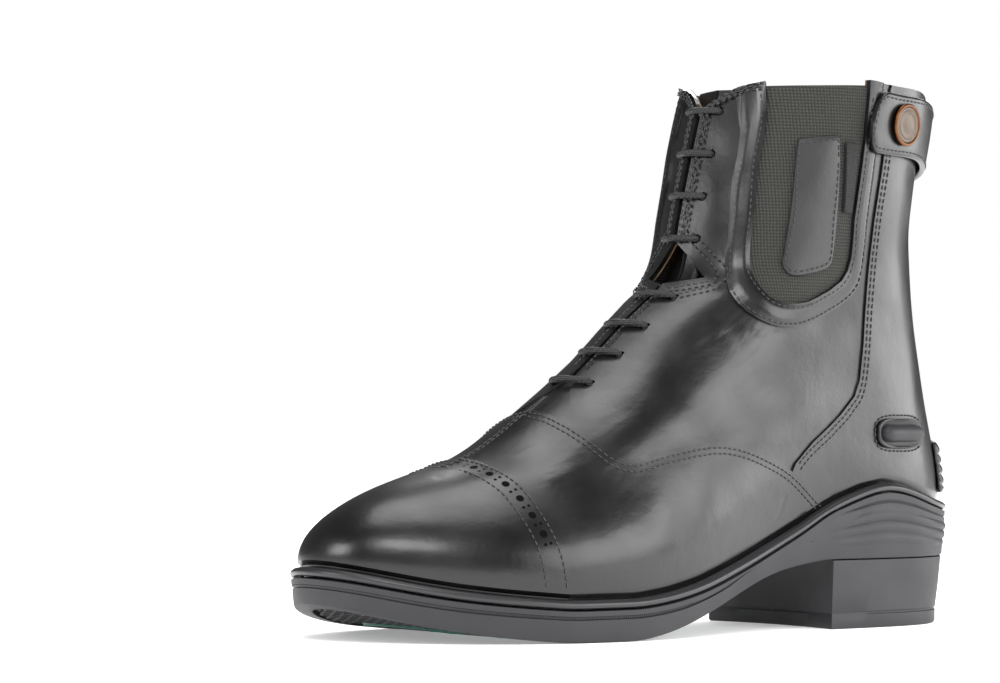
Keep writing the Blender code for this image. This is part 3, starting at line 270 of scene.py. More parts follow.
def soft_line(points: Sequence[Sequence[float]], steps: int) -> np.ndarray:
    """Draws a soft line through points.

    Args:
        points: the line's own points.
        steps: how many spans lie between each two.

    Returns:
        The finer points.
    """
    spots = np.asarray(points, float)
    spots = np.concatenate([2 * spots[:1] - spots[1:2], spots, 2 * spots[-1:] - spots[-2:-1]])
    out = []
    for a, b, c, d in zip(spots, spots[1:], spots[2:], spots[3:]):
        for t in np.arange(steps) / steps:
            near = 2 * b + (c - a) * t
            far = (2 * a - 5 * b + 4 * c - d) * t**2 + (3 * b - a - 3 * c + d) * t**3
            out.append((near + far) / 2)
    out.append(spots[-2])
    return np.array(out)


class Last:
    """The outer face of the leather, worked out from the boot's own sizes."""

    def __init__(self) -> None:
        """Reads the tables into smooth functions."""
        ways = np.array([row.along for row in FOOT]) * SOLE_LENGTH
        self.shift = np.zeros(3)
        self.swing = sampled(
            natural_curve(ways, np.array([row.swing for row in FOOT]) * BALL_WIDTH), SOLE_LENGTH, 600
        )
        heel = natural_curve(ways, np.array([row.heel_rise for row in FOOT]) * HEEL_HEIGHT)
        toe = natural_curve(ways, np.array([row.toe_rise for row in FOOT]) * TOE_SPRING)
        beds = np.array([row.bed for row in FOOT]) * SOLE_THICKNESS
        self.rim_over = natural_curve(ways, np.array([row.rim for row in FOOT]) * CUP_HEIGHT)

        def tread(u: np.ndarray) -> np.ndarray:
            """Returns the tread's height, flat under the heel seat and the ball."""
            back = np.where(u <= 0.300 * SOLE_LENGTH, HEEL_HEIGHT, np.maximum(heel(u), 0))
            front = np.where(u >= 0.765 * SOLE_LENGTH, np.maximum(toe(u), 0), 0)
            return np.where(u < 0.650 * SOLE_LENGTH, back, front)

        self.tread = sampled(lambda u: self.eased(tread(u)), SOLE_LENGTH, 2401)
        self.bed = sampled(lambda u: self.eased(tread(u) + np.interp(u, ways, beds)), SOLE_LENGTH, 2401)
        levels = np.arange(len(RINGS))
        self.top = len(RINGS) - 1.0
        self.path = sampled(natural_curve(levels, np.array([ring[:5] for ring in RINGS])), self.top, 1301)
        self.girth = sampled(natural_curve(levels, np.array([ring[5:] for ring in RINGS])), self.top, 1301)
        turns = np.linspace(0, pi, STATIONS)
        self.to_waves = np.linalg.inv(np.cos(np.outer(turns, np.arange(STATIONS))))

    @staticmethod
    def eased(heights: np.ndarray, spread: int = 34) -> np.ndarray:
        """Returns heights with their corners eased over about 4 mm."""
        weights = np.exp(-0.5 * (np.arange(-3 * spread, 3 * spread + 1) / spread) ** 2)
        return np.convolve(np.pad(heights, 3 * spread, mode="edge"), weights / weights.sum(), mode="valid")

    def surface(self, angle: np.ndarray, level: np.ndarray) -> np.ndarray:
        """Returns points of the leather's outer face, at angles and levels."""
        angle, level = np.broadcast_arrays(np.asarray(angle, float), np.asarray(level, float))
        front, front_z, back, back_z, follow = np.moveaxis(self.path(level), -1, 0)
        front = front * SOLE_LENGTH
        back = back * SOLE_LENGTH
        share = (1 + np.cos(angle)) / 2
        u = back + (front - back) * share
        waves = self.girth(level) @ self.to_waves.T
        girth = (waves * np.cos(angle[..., None] * np.arange(STATIONS))).sum(-1) * BALL_WIDTH
        flat = self.bed(front) * share + self.bed(back) * (1 - share)
        z = (front_z * share + back_z * (1 - share)) * SHAFT_HEIGHT
        z = z + np.clip(follow, 0, 1) * (self.bed(u) - flat)
        sole = np.clip(level, 0, 1)
        z = np.where(level < 1, (self.bed(u) + GAP) * (1 - sole) + z * sole, z)
        fade = np.clip(1 - level / 8, 0.12, 1)
        y = fade * self.swing(u) - girth * np.sin(angle)
        return np.stack([SOLE_LENGTH / 2 - u, y, z], -1) + self.shift

    def normals(self, angle: np.ndarray, level: np.ndarray) -> np.ndarray:
        """Returns outward unit normals of the outer face."""
        level = np.asarray(level, float)
        ring = self.surface(angle + 0.02, level) - self.surface(angle - 0.02, level)
        above = self.surface(angle, np.minimum(level + 0.02, self.top))
        rise = above - self.surface(angle, np.maximum(level - 0.02, 0))
        out = np.cross(ring, rise)
        return out / np.linalg.norm(out, axis=-1, keepdims=True)

    def outside(self, angle: np.ndarray, level: np.ndarray, reach: np.ndarray | float) -> np.ndarray:
        """Returns points at a reach from the outer face."""
        return self.surface(angle, level) + self.normals(angle, level) * np.asarray(reach, float)[..., None]

    def level_at(self, angle: np.ndarray, height: np.ndarray) -> np.ndarray:
        """Returns the levels where the outer face reaches the heights, by halving."""
        angle, height = np.broadcast_arrays(np.asarray(angle, float), np.asarray(height, float))
        low = np.zeros(angle.shape)
        high = np.full(angle.shape, self.top)
        for _ in range(20):
            middle = (low + high) / 2
            under = self.surface(angle, middle)[..., 2] < height
            low = np.where(under, middle, low)
            high = np.where(under, high, middle)
        return (low + high) / 2

    def place(self, u: np.ndarray, z: np.ndarray, side: Side) -> tuple[np.ndarray, np.ndarray]:
        """Finds places given from the side.

        Args:
            u: distances from the heel.
            z: heights.
            side: the side that is looked at.

        Returns:
            Their angles and levels.
        """
        u, z = np.broadcast_arrays(np.asarray(u, float), np.asarray(z, float))
        level = np.full(u.shape, 6.0)
        angle = level
        for _ in range(13):
            path = self.path(level)
            front = path[..., 0] * SOLE_LENGTH
            back = path[..., 2] * SOLE_LENGTH
            share = np.clip((u - back) / (front - back), 0.0001, 0.9999)
            angle = np.arccos(2 * share - 1)
            level = (level + self.level_at(angle, z)) / 2
        return np.where(side is Side.OUTER, angle, 2 * pi - angle), level

    def along(self, points: np.ndarray) -> np.ndarray:
        """Returns the distances of points from the back of the heel."""
        return SOLE_LENGTH / 2 - (np.asarray(points)[..., 0] - self.shift[0])

    def rim_level(self, angle: np.ndarray) -> np.ndarray:
        """Returns the level of the cup's edge."""
        level = np.ones(np.shape(angle))
        for _ in range(6):
            u = self.along(self.surface(angle, level))
            level = self.level_at(angle, self.bed(u) + self.rim_over(u))
        return level

    def collar_height(self, angle: np.ndarray) -> np.ndarray:
        """Returns the height of the collar's edge."""
        waves = self.to_waves @ np.array(COLLAR)
        return (waves * np.cos(np.asarray(angle)[..., None] * np.arange(STATIONS))).sum(-1) * SHAFT_HEIGHT

    def across(self, height: np.ndarray | float, half: np.ndarray | float) -> np.ndarray:
        """Returns the angles off the front ridge where the shaft has the half widths, at the heights."""
        height, half = np.broadcast_arrays(np.asarray(height, float), half)
        low = np.zeros(height.shape)
        high = low + 1.3
        ridge = self.surface(low, self.level_at(low, height))[..., 1]
        for _ in range(18):
            middle = (low + high) / 2
            near = ridge - self.surface(middle, self.level_at(middle, height))[..., 1] < half
            low = np.where(near, middle, low)
            high = np.where(near, high, middle)
        return (low + high) / 2

    def side_line(
        self, rows: Sequence[Sequence[float]], side: Side, steps: int
    ) -> tuple[np.ndarray, np.ndarray]:
        """Returns the angles and levels of a soft line given as shares from the side."""
        line = soft_line(np.array(rows, float) * (SOLE_LENGTH, SHAFT_HEIGHT), steps)
        return self.place(line[:, 0], line[:, 1], side)


LAST = Last()


def linear(code: str) -> tuple[float, float, float, float]:
    """Returns the linear colour of an sRGB hex code, with full alpha."""
    parts = [int(code[i : i + 2], 16) / 255 for i in (1, 3, 5)]
    red, green, blue = [p / 12.92 if p <= 0.04045 else ((p + 0.055) / 1.055) ** 2.4 for p in parts]
    return red, green, blue, 1.0


def add_node(
    tree: bpy.types.NodeTree,
    kind: str,
    settings: Optional[dict] = None,
    links: Optional[dict] = None,
    **options: object,
) -> bpy.types.Node:
    """Adds a shader node.

    Args:
        tree: the material's node tree.
        kind: the node's type name.
        settings: input names or numbers, and their values.
        links: input names or numbers, and the sockets that feed them.
        options: the node's own properties.

    Returns:
        The node.
    """
    node = tree.nodes.new(kind)
    for name, value in options.items():
        setattr(node, name, value)
    for key, value in (settings or {}).items():
        node.inputs[key].default_value = value
    for key, socket in (links or {}).items():
        tree.links.new(socket, node.inputs[key])
    return node


@dataclass(frozen=True)
class Finish:
    """A material of the boot, with its own colour, gloss and relief."""

    name: str
    colour: str
    rough: float
    metal: float = 0.0
    coat: float = 0.0
    coat_rough: float = 0.2
    specular: float = 0.5

    def relief(self, tree: bpy.types.NodeTree) -> Optional[bpy.types.NodeSocket]:
        """Returns the bump's normal, or None."""
        return None

    def tint(self, tree: bpy.types.NodeTree) -> Optional[bpy.types.NodeSocket]:
        """Returns the varied colour, or None."""
        return None

    def dullness(self, tree: bpy.types.NodeTree) -> Optional[bpy.types.NodeSocket]:
        """Returns the varied roughness, or None."""
        return None

    def material(self) -> bpy.types.Material:
        """Builds the material once and returns it."""
        made = bpy.data.materials.get(self.name)
        if made:
            return made
        made = bpy.data.materials.new(self.name)
        made.use_nodes = True
        tree = made.node_tree
        shader = tree.nodes["Principled BSDF"]
        shader.inputs["Base Color"].default_value = linear(self.colour)
        shader.inputs["Roughness"].default_value = self.rough
        shader.inputs["Metallic"].default_value = self.metal
        shader.inputs["Coat Weight"].default_value = self.coat
        shader.inputs["Coat Roughness"].default_value = self.coat_rough
        shader.inputs["Specular IOR Level"].default_value = self.specular
        fed = {"Normal": self.relief(tree), "Base Color": self.tint(tree), "Roughness": self.dullness(tree)}
        for name, socket in fed.items():
            if socket is not None:
                tree.links.new(socket, shader.inputs[name])
        return made


@dataclass(frozen=True)
class Leather(Finish):
    """Chrome-tanned cowhide with a pigmented, polished face: fine pores and soft uneven gloss."""

    pore_mm: float = 0.75
    pore_depth: float = 0.05
    light: str = "#2a2a2b"

    def relief(self, tree: bpy.types.NodeTree) -> bpy.types.NodeSocket:
        """Pores about 0.75 mm apart over slow swells of the hide, coarser than real so that they show."""
        at = add_node(tree, "ShaderNodeTexCoord").outputs["Object"]
        pores = add_node(
            tree, "ShaderNodeTexVoronoi", {"Scale": 1 / (self.pore_mm * MM)}, {"Vector": at},
            feature="SMOOTH_F1",
        )
        hide = add_node(
            tree, "ShaderNodeTexNoise", {"Scale": 95.0, "Detail": 5.0, "Roughness": 0.55}, {"Vector": at}
        )
        slow = add_node(
            tree, "ShaderNodeBump", {"Strength": 0.35, "Distance": 0.0007}, {"Height": hide.outputs["Fac"]}
        )
        return add_node(
            tree,
            "ShaderNodeBump",
            {"Strength": 0.35, "Distance": self.pore_depth * MM},
            {"Height": pores.outputs["Distance"], "Normal": slow.outputs["Normal"]},
        ).outputs["Normal"]

    def tint(self, tree: bpy.types.NodeTree) -> bpy.types.NodeSocket:
        """The dye is a little lighter in broad cloudy patches."""
        at = add_node(tree, "ShaderNodeTexCoord").outputs["Object"]
        cloud = add_node(tree, "ShaderNodeTexNoise", {"Scale": 34.0, "Detail": 3.0}, {"Vector": at})
        ramp = add_node(tree, "ShaderNodeValToRGB", None, {"Fac": cloud.outputs["Fac"]})
        ramp.color_ramp.elements[0].position = 0.35
        ramp.color_ramp.elements[0].color = linear(self.colour)
        ramp.color_ramp.elements[1].position = 0.75
        ramp.color_ramp.elements[1].color = linear(self.light)
        return ramp.outputs["Color"]

    def dullness(self, tree: bpy.types.NodeTree) -> bpy.types.NodeSocket:
        """Handling leaves the polish uneven."""
        at = add_node(tree, "ShaderNodeTexCoord").outputs["Object"]
        cloud = add_node(tree, "ShaderNodeTexNoise", {"Scale": 60.0, "Detail": 4.0}, {"Vector": at})
        return add_node(
            tree,
            "ShaderNodeMapRange",
            {"From Min": 0.3, "From Max": 0.7, "To Min": self.rough - 0.05, "To Max": self.rough + 0.08},
            {"Value": cloud.outputs["Fac"]},
        ).outputs["Result"]


@dataclass(frozen=True)
class Woven(Finish):
    """Woven elastic: covered rubber ends in upright ribs, crossed by a fine weft."""

    rib_mm: float = 1.1
    light: str = "#3d3d37"

    def weave(self, tree: bpy.types.NodeTree) -> tuple[bpy.types.NodeSocket, bpy.types.NodeSocket]:
        """Returns the ribs' and the weft's waves. Both are coarser than real, so that they show."""
        at = add_node(tree, "ShaderNodeTexCoord").outputs["Object"]
        scale = 2 * pi / (20 * self.rib_mm * MM)
        ribs = add_node(
            tree, "ShaderNodeTexWave",
            {"Scale": scale, "Distortion": 0.6, "Detail": 1.0, "Detail Scale": 3.0},
            {"Vector": at}, bands_direction="Z",
        )
        weft = add_node(
            tree, "ShaderNodeTexWave", {"Scale": scale * 1.1, "Distortion": 1.2, "Detail": 1.0},
            {"Vector": at}, bands_direction="X",
        )
        return ribs.outputs["Fac"], weft.outputs["Fac"]

    def relief(self, tree: bpy.types.NodeTree) -> bpy.types.NodeSocket:
        """Ribs and weft stand out of the tape."""
        ribs, weft = self.weave(tree)
        both = add_node(tree, "ShaderNodeMath", None, {0: ribs, 1: weft}, operation="MULTIPLY")
        return add_node(
            tree, "ShaderNodeBump", {"Strength": 0.9, "Distance": 0.0003}, {"Height": both.outputs["Value"]}
        ).outputs["Normal"]

    def tint(self, tree: bpy.types.NodeTree) -> bpy.types.NodeSocket:
        """The crowns of the threads catch more light than the valleys."""
        ribs, weft = self.weave(tree)
        both = add_node(tree, "ShaderNodeMath", None, {0: ribs, 1: weft}, operation="MULTIPLY")
        ramp = add_node(tree, "ShaderNodeValToRGB", None, {"Fac": both.outputs["Value"]})
        ramp.color_ramp.elements[0].color = linear(self.colour)
        ramp.color_ramp.elements[1].color = linear(self.light)
        return ramp.outputs["Color"]


@dataclass(frozen=True)
class Moulded(Finish):
    """Moulded rubber: an even skin with the mould's fine spark texture."""

    grain_mm: float = 0.5
    depth: float = 0.03

    def relief(self, tree: bpy.types.NodeTree) -> bpy.types.NodeSocket:
        """The mould's texture, half a millimetre coarse."""
        at = add_node(tree, "ShaderNodeTexCoord").outputs["Object"]
        grain = add_node(
            tree, "ShaderNodeTexNoise", {"Scale": 1 / (self.grain_mm * MM), "Detail": 2.0}, {"Vector": at}
        )
        return add_node(
            tree,
            "ShaderNodeBump",
            {"Strength": 0.4, "Distance": self.depth * MM},
            {"Height": grain.outputs["Fac"]},
        ).outputs["Normal"]

    def dullness(self, tree: bpy.types.NodeTree) -> bpy.types.NodeSocket:
        """Dust and handling make broad duller patches."""
        at = add_node(tree, "ShaderNodeTexCoord").outputs["Object"]
        cloud = add_node(tree, "ShaderNodeTexNoise", {"Scale": 50.0, "Detail": 3.0}, {"Vector": at})
        return add_node(
            tree,
            "ShaderNodeMapRange",
            {"From Min": 0.3, "From Max": 0.7, "To Min": self.rough - 0.06, "To Max": self.rough + 0.06},
            {"Value": cloud.outputs["Fac"]},
        ).outputs["Result"]


@dataclass(frozen=True)
class Metal(Finish):
    """Stamped brass with an antique gunmetal plating, worn a little on its crowns."""

    def dullness(self, tree: bpy.types.NodeTree) -> bpy.types.NodeSocket:
        """Fine handling marks."""
        at = add_node(tree, "ShaderNodeTexCoord").outputs["Object"]
        cloud = add_node(tree, "ShaderNodeTexNoise", {"Scale": 900.0, "Detail": 3.0}, {"Vector": at})
        return add_node(
            tree,
            "ShaderNodeMapRange",
            {"To Min": self.rough - 0.08, "To Max": self.rough + 0.1},
            {"Value": cloud.outputs["Fac"]},
        ).outputs["Result"]


UPPER_LEATHER = Leather("polished_cowhide", "#070708", 0.33, coat=0.22, coat_rough=0.2, light="#111112")
PATCH_LEATHER = Leather("matt_cowhide_facing", "#1f1f20", 0.42, light="#2c2c2d", pore_mm=0.6, pore_depth=0.08)
LINING = Leather("pigskin_lining", "#5b4630", 0.7, light="#735a3e", pore_mm=1.1, pore_depth=0.1)
CUT_EDGE = Leather("cut_leather_edge", "#8a5f34", 0.65, light="#a2713d", pore_mm=0.5)
ELASTIC = Woven("woven_elastic", "#191a17", 0.85)
TAPE = Woven("label_tape", "#161617", 0.8, light="#28282a", rib_mm=0.7)
CORD = Woven("braided_cord", "#141415", 0.62, light="#333335", rib_mm=0.8)
THREAD = Finish("bonded_thread", "#29292a", 0.42)
SOLE_RUBBER = Moulded("matt_sole_rubber", "#242427", 0.58)
BEAD_RUBBER = Moulded("glossy_bead_rubber", "#202022", 0.4, coat=0.15, depth=0.01)
TRIM_RUBBER = Moulded("moulded_trim", "#101011", 0.42, depth=0.015)
INSERT_RUBBER = Moulded("teal_insert", "#0e6f5d", 0.4, depth=0.015)
# The brogue holes are flat near-black, nearly unreflective discs: painted shade of the holes' insides over
# the black leather beneath.
HOLE_SHADE = Finish("painted_hole_shade", "#040404", 0.9, specular=0.1)
SNAP_PLATE = Metal("gunmetal_plating", "#5a5149", 0.4, metal=1.0)
SNAP_RIM = Metal("worn_copper_rim", "#6e4a34", 0.4, metal=1.0)
ZIP_COIL = Moulded("nylon_coil", "#18181a", 0.4, depth=0.01)
FOOTBED = Woven("footbed_cloth", "#6d563b", 0.85, light="#8a6f50", rib_mm=1.4)


def put(
    name: str, work: bmesh.types.BMesh, finishes: Sequence[Finish], sharp: float = 35.0
) -> bpy.types.Object:
    """Turns a bmesh into a piece of the boot that rides on the root body.

    Args:
        name: the piece's name.
        work: its shape, in place. It is freed.
        finishes: its materials, in slot order.
        sharp: the angle in degrees over which an edge stays sharp.

    Returns:
        The piece.
    """
    mesh = bpy.data.meshes.new(name)
    for edge in work.edges:
        edge.smooth = len(edge.link_faces) != 2 or edge.calc_face_angle(0.0) < math.radians(sharp)
    for face in work.faces:
        face.smooth = True
    work.to_mesh(mesh)
    work.free()
    piece = bpy.data.objects.new(name, mesh)
    bpy.context.scene.collection.objects.link(piece)
    for finish in finishes:
        mesh.materials.append(finish.material())
    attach(piece, "root")
    LOG.info("made %s, %d faces", name, len(mesh.polygons))
    return piece


def ring_skin(loops: Sequence[np.ndarray], closed: bool = False, capped: bool = True) -> bmesh.types.BMesh:
    """Bridges rings of points into one skin.

    Args:
        loops: rings of equal counts, in order.
        closed: whether the last ring joins the first.
        capped: whether the two end rings are filled.

    Returns:
        The skin, with its faces outward.
    """
    work = bmesh.new()
    rings = []
    for loop in loops:
        spots = [work.verts.new(point) for point in loop]
        edges = [work.edges.new((a, b)) for a, b in zip(spots, spots[1:] + spots[:1])]
        rings.append(edges)
    pairs = list(zip(rings, rings[1:]))
    if closed:
        pairs.append((rings[-1], rings[0]))
    for one, other in pairs:
        bmesh.ops.bridge_loops(work, edges=one + other)
    if capped and not closed:
        bmesh.ops.edgeloop_fill(work, edges=rings[0])
        bmesh.ops.edgeloop_fill(work, edges=rings[-1])
    bmesh.ops.recalc_face_normals(work, faces=work.faces)
    return work


def scatter(
    name: str, template: bmesh.types.BMesh, spots: np.ndarray, finish: Finish, sharp: float = 50.0
) -> bpy.types.Object:
    """Joins many copies of one small shape into a piece.

    Args:
        name: the piece's name.
        template: the small shape. It is freed.
        spots: a 4x4 matrix for each copy.
        finish: its material.
        sharp: as in put.

    Returns:
        The piece.
    """
    small = bpy.data.meshes.new("template")
    template.to_mesh(small)
    template.free()
    points = np.array([tuple(v.co) + (1.0,) for v in small.vertices])
    faces = [tuple(p.vertices) for p in small.polygons]
    bpy.data.meshes.remove(small)
    moved = np.einsum("nij,kj->nki", spots, points)[..., :3]
    mesh = bpy.data.meshes.new(name)
    joined = [tuple(i + n * len(points) for i in face) for n in range(len(spots)) for face in faces]
    mesh.from_pydata(moved.reshape(-1, 3).tolist(), [], joined)
    work = bmesh.new()
    work.from_mesh(mesh)
    bpy.data.meshes.remove(mesh)
    return put(name, work, [finish], sharp)


def frames(points: np.ndarray, ahead: np.ndarray, out: np.ndarray, size: Sequence[float]) -> np.ndarray:
    """Returns matrices that set a shape's X ahead, its Z outward and its half sizes, at points."""
    ahead = ahead - out * (ahead * out).sum(-1, keepdims=True)
    ahead = ahead / np.linalg.norm(ahead, axis=-1, keepdims=True)
    side = np.cross(out, ahead)
    made = np.zeros((len(points), 4, 4))
    made[:, :3, 0] = ahead * size[0]
    made[:, :3, 1] = side * size[1]
    made[:, :3, 2] = out * size[2]
    made[:, :3, 3] = points
    made[:, 3, 3] = 1
    return made


class Crease(NamedTuple):
    """One soft trough in the leather: a side outline in shares, its depth and width in mm, and its sides."""

    line: tuple[tuple[float, float], ...]
    depth: float
    width: float
    sides: tuple[Side, ...]


BOTH = (Side.OUTER, Side.INNER)
CREASES = (
    Crease(((0.452, 0.640), (0.425, 0.570), (0.385, 0.515)), 0.8, 4.0, BOTH),
    Crease(((0.462, 0.600), (0.445, 0.535), (0.415, 0.475)), 0.55, 3.6, BOTH),
    Crease(((0.500, 0.560), (0.470, 0.490), (0.425, 0.430), (0.360, 0.395)), 0.6, 6.0, BOTH),
    Crease(((0.560, 0.500), (0.520, 0.430), (0.470, 0.380)), 0.45, 6.5, BOTH),
    Crease(((0.735, 0.330), (0.715, 0.250), (0.700, 0.170)), 0.5, 6.0, BOTH),
    Crease(((0.700, 0.350), (0.660, 0.250), (0.640, 0.180)), 0.6, 8.0, BOTH),
    Crease(((0.640, 0.290), (0.590, 0.230), (0.560, 0.170)), 0.4, 8.0, BOTH),
    Crease(((0.370, 0.520), (0.300, 0.520), (0.250, 0.560)), -0.4, 6.0, BOTH),
    Crease(((0.190, 0.600), (0.160, 0.520), (0.140, 0.430)), 0.4, 8.0, BOTH),
    Crease(((0.420, 0.900), (0.405, 0.800), (0.420, 0.700)), 0.35, 5.0, BOTH),
)


class Leatherwork:
    """The creased face of the leather, and places on it."""

    def __init__(self) -> None:
        """Starts with no creases."""
        self.troughs: list[tuple[np.ndarray, np.ndarray, float, float]] = []

    def crease(self) -> None:
        """Draws the creases on the last, once it is in its place."""
        for crease in CREASES:
            for side in crease.sides:
                angle, level = LAST.side_line(crease.line, side, 6)
                points = LAST.surface(angle, level)
                fade = np.sin(np.linspace(0.12, pi - 0.12, len(points)))
                self.troughs.append((points, fade, crease.depth * MM, crease.width * MM))

    def sink(self, points: np.ndarray) -> np.ndarray:
        """Returns how far the leather lies under its last at points."""
        total = np.zeros(len(points))
        for line, fade, depth, width in self.troughs:
            gaps = np.linalg.norm(points[:, None] - line[None], axis=-1)
            near = gaps.argmin(1)
            gap = gaps[np.arange(len(points)), near] / width
            total += depth * fade[near] * (np.exp(-(gap**2)) - 0.35 * np.exp(-((gap - 1.9) ** 2)))
        return total

    def at(
        self, angle: np.ndarray, level: np.ndarray, reach: np.ndarray | float
    ) -> tuple[np.ndarray, np.ndarray]:
        """Returns points at a reach from the creased face, and its normals."""
        points = LAST.surface(angle, level)
        out = LAST.normals(angle, level)
        return points + out * (reach - self.sink(points))[:, None], out


LEATHERWORK = Leatherwork()


def locate(points: np.ndarray) -> tuple[np.ndarray, np.ndarray]:
    """Finds where points lie over the last.

    Args:
        points: points near the leather.

    Returns:
        Their reaches from the outer face and its normals there.
    """
    turns = np.linspace(-pi, pi, 181)
    levels = np.linspace(0, LAST.top, 131)
    grid_turns, grid_levels = np.meshgrid(turns, levels)
    grid = LAST.surface(grid_turns.ravel(), grid_levels.ravel())
    tree = KDTree(len(grid))
    for number, spot in enumerate(grid):
        tree.insert(spot, number)
    tree.balance()
    first = np.array([tree.find(point)[1] for point in points])
    angle = grid_turns.ravel()[first].copy()
    level = grid_levels.ravel()[first].copy()
    for _ in range(5):
        here = LAST.surface(angle, level)
        step_a = (LAST.surface(angle + 0.01, level) - LAST.surface(angle - 0.01, level)) / 0.02
        high = np.minimum(level + 0.01, LAST.top)
        low = np.maximum(level - 0.01, 0)
        step_l = (LAST.surface(angle, high) - LAST.surface(angle, low)) / (high - low)[:, None]
        rest = points - here
        aa = (step_a**2).sum(-1)
        ll = (step_l**2).sum(-1)
        al = (step_a * step_l).sum(-1)
        ra = (rest * step_a).sum(-1)
        rl = (rest * step_l).sum(-1)
        determinant = aa * ll - al**2 + 1e-18
        angle = angle + np.clip((ra * ll - rl * al) / determinant, -0.05, 0.05)
        level = np.clip(level + np.clip((rl * aa - ra * al) / determinant, -0.2, 0.2), 0, LAST.top)
    out = LAST.normals(angle, level)
    reach = ((points - LAST.surface(angle, level)) * out).sum(-1)
    return reach, out


@dataclass
class Upper:
    """The leather shell, on its smooth last, with its creases and its lining."""

    cuts: int = 3
    lined_under: float = -1.2 * MM

    def build(self, frame: dict) -> bpy.types.Object:
        """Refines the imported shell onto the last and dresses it.


        Returns:
            The shell.
        """
        work = bmesh.new()
        work.from_mesh(frame["nodes"]["upper"].data)
        bmesh.ops.remove_doubles(work, verts=work.verts, dist=0.002 * MM)
        reach_layer = work.verts.layers.float.new("reach")
        work.verts.ensure_lookup_table()
        points = np.array([tuple(v.co) for v in work.verts])
        for spot, value in zip(work.verts, locate(points)[0]):
            spot[reach_layer] = value
        bmesh.ops.subdivide_edges(work, edges=work.edges, cuts=self.cuts, use_grid_fill=True)
        points = np.array([tuple(v.co) for v in work.verts])
        wanted = np.array([v[reach_layer] for v in work.verts])
        reach, out = locate(points)
        foot = points[:, 2] < LAST.bed(LAST.along(points)) + 1.5 * MM
        move = np.where(foot, 0, wanted - reach)
        points = points + out * (move - np.where(foot, 0, LEATHERWORK.sink(points)))[:, None]
        for spot, point in zip(work.verts, points):
            spot.co = point
        shell = put("upper_shell", work, [UPPER_LEATHER, LINING, CUT_EDGE], 30)
        reach_of = [item.value for item in shell.data.attributes["reach"].data]
        for face in shell.data.polygons:
            if all(reach_of[i] < self.lined_under for i in face.vertices):
                face.material_index = 1
        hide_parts("upper")
        return shell


@dataclass
class Stitching:
    """Rows of lockstitch along the seams."""

    pitch: float = 2.3 * MM
    half_length: float = 0.85 * MM
    half_width: float = 0.33 * MM
    spots: list[np.ndarray] = field(default_factory=list)

    def row(
        self, angle: np.ndarray, level: np.ndarray, reach: np.ndarray | float, low: float = 0.0
    ) -> None:
        """Sews a row along places on the last.

        Args:
            angle: the row's angles.
            level: its levels.
            reach: how far it lies from the last's face.
            low: the lowest height that it reaches.
        """
        points, out = LEATHERWORK.at(angle, level, reach)
        keep = points[:, 2] > low
        self.sew(points[keep], out[keep])

    def sew(self, points: np.ndarray, out: np.ndarray) -> None:
        """Sews a row along points, with the faces' normals."""
        if len(points) < 3:
            return
        gone = np.concatenate([[0], np.cumsum(np.linalg.norm(np.diff(points, axis=0), axis=1))])
        stops = np.arange(self.pitch / 2, gone[-1], self.pitch)
        at = np.stack([np.interp(stops, gone, points[:, i]) for i in range(3)], 1)
        up = np.stack([np.interp(stops, gone, out[:, i]) for i in range(3)], 1)
        up /= np.linalg.norm(up, axis=1, keepdims=True)
        slopes = np.gradient(points, axis=0)
        ahead = np.stack([np.interp(stops, gone, slopes[:, i]) for i in range(3)], 1)
        self.spots.append(frames(at, ahead, up, (self.half_length, self.half_width, self.half_width)))

    def offset_row(
        self, rows: Sequence[Sequence[float]], aside: float, reach: float, low: float = 0.0, high: float = 1.0
    ) -> None:
        """Sews a row beside a seam, on both sides of the boot.

        Args:
            rows: the seam's side outline, in shares.
            aside: how far the row lies to the seam's left, seen from the outer side.
            reach: how far it lies from the last's face.
            low: the lowest height.
            high: the highest share of the shaft height.
        """
        line = soft_line(np.array(rows, float) * (SOLE_LENGTH, SHAFT_HEIGHT), 10)
        ahead = np.gradient(line, axis=0)
        ahead /= np.linalg.norm(ahead, axis=1, keepdims=True)
        line = line + np.stack([-ahead[:, 1], ahead[:, 0]], 1) * aside
        line = line[line[:, 1] < high * SHAFT_HEIGHT]
        for side in Side:
            angle, level = LAST.place(line[:, 0], line[:, 1], side)
            self.row(angle, level, reach, low)

    def finish(self) -> bpy.types.Object:
        """Joins the rows into one piece of thread."""
        grain = bmesh.new()
        bmesh.ops.create_uvsphere(grain, u_segments=6, v_segments=4, radius=1)
        bmesh.ops.rotate(grain, verts=grain.verts, matrix=Matrix.Rotation(pi / 2, 3, "Y"))
        thread = scatter("seam_thread", grain, np.concatenate(self.spots), THREAD, 180)
        return thread


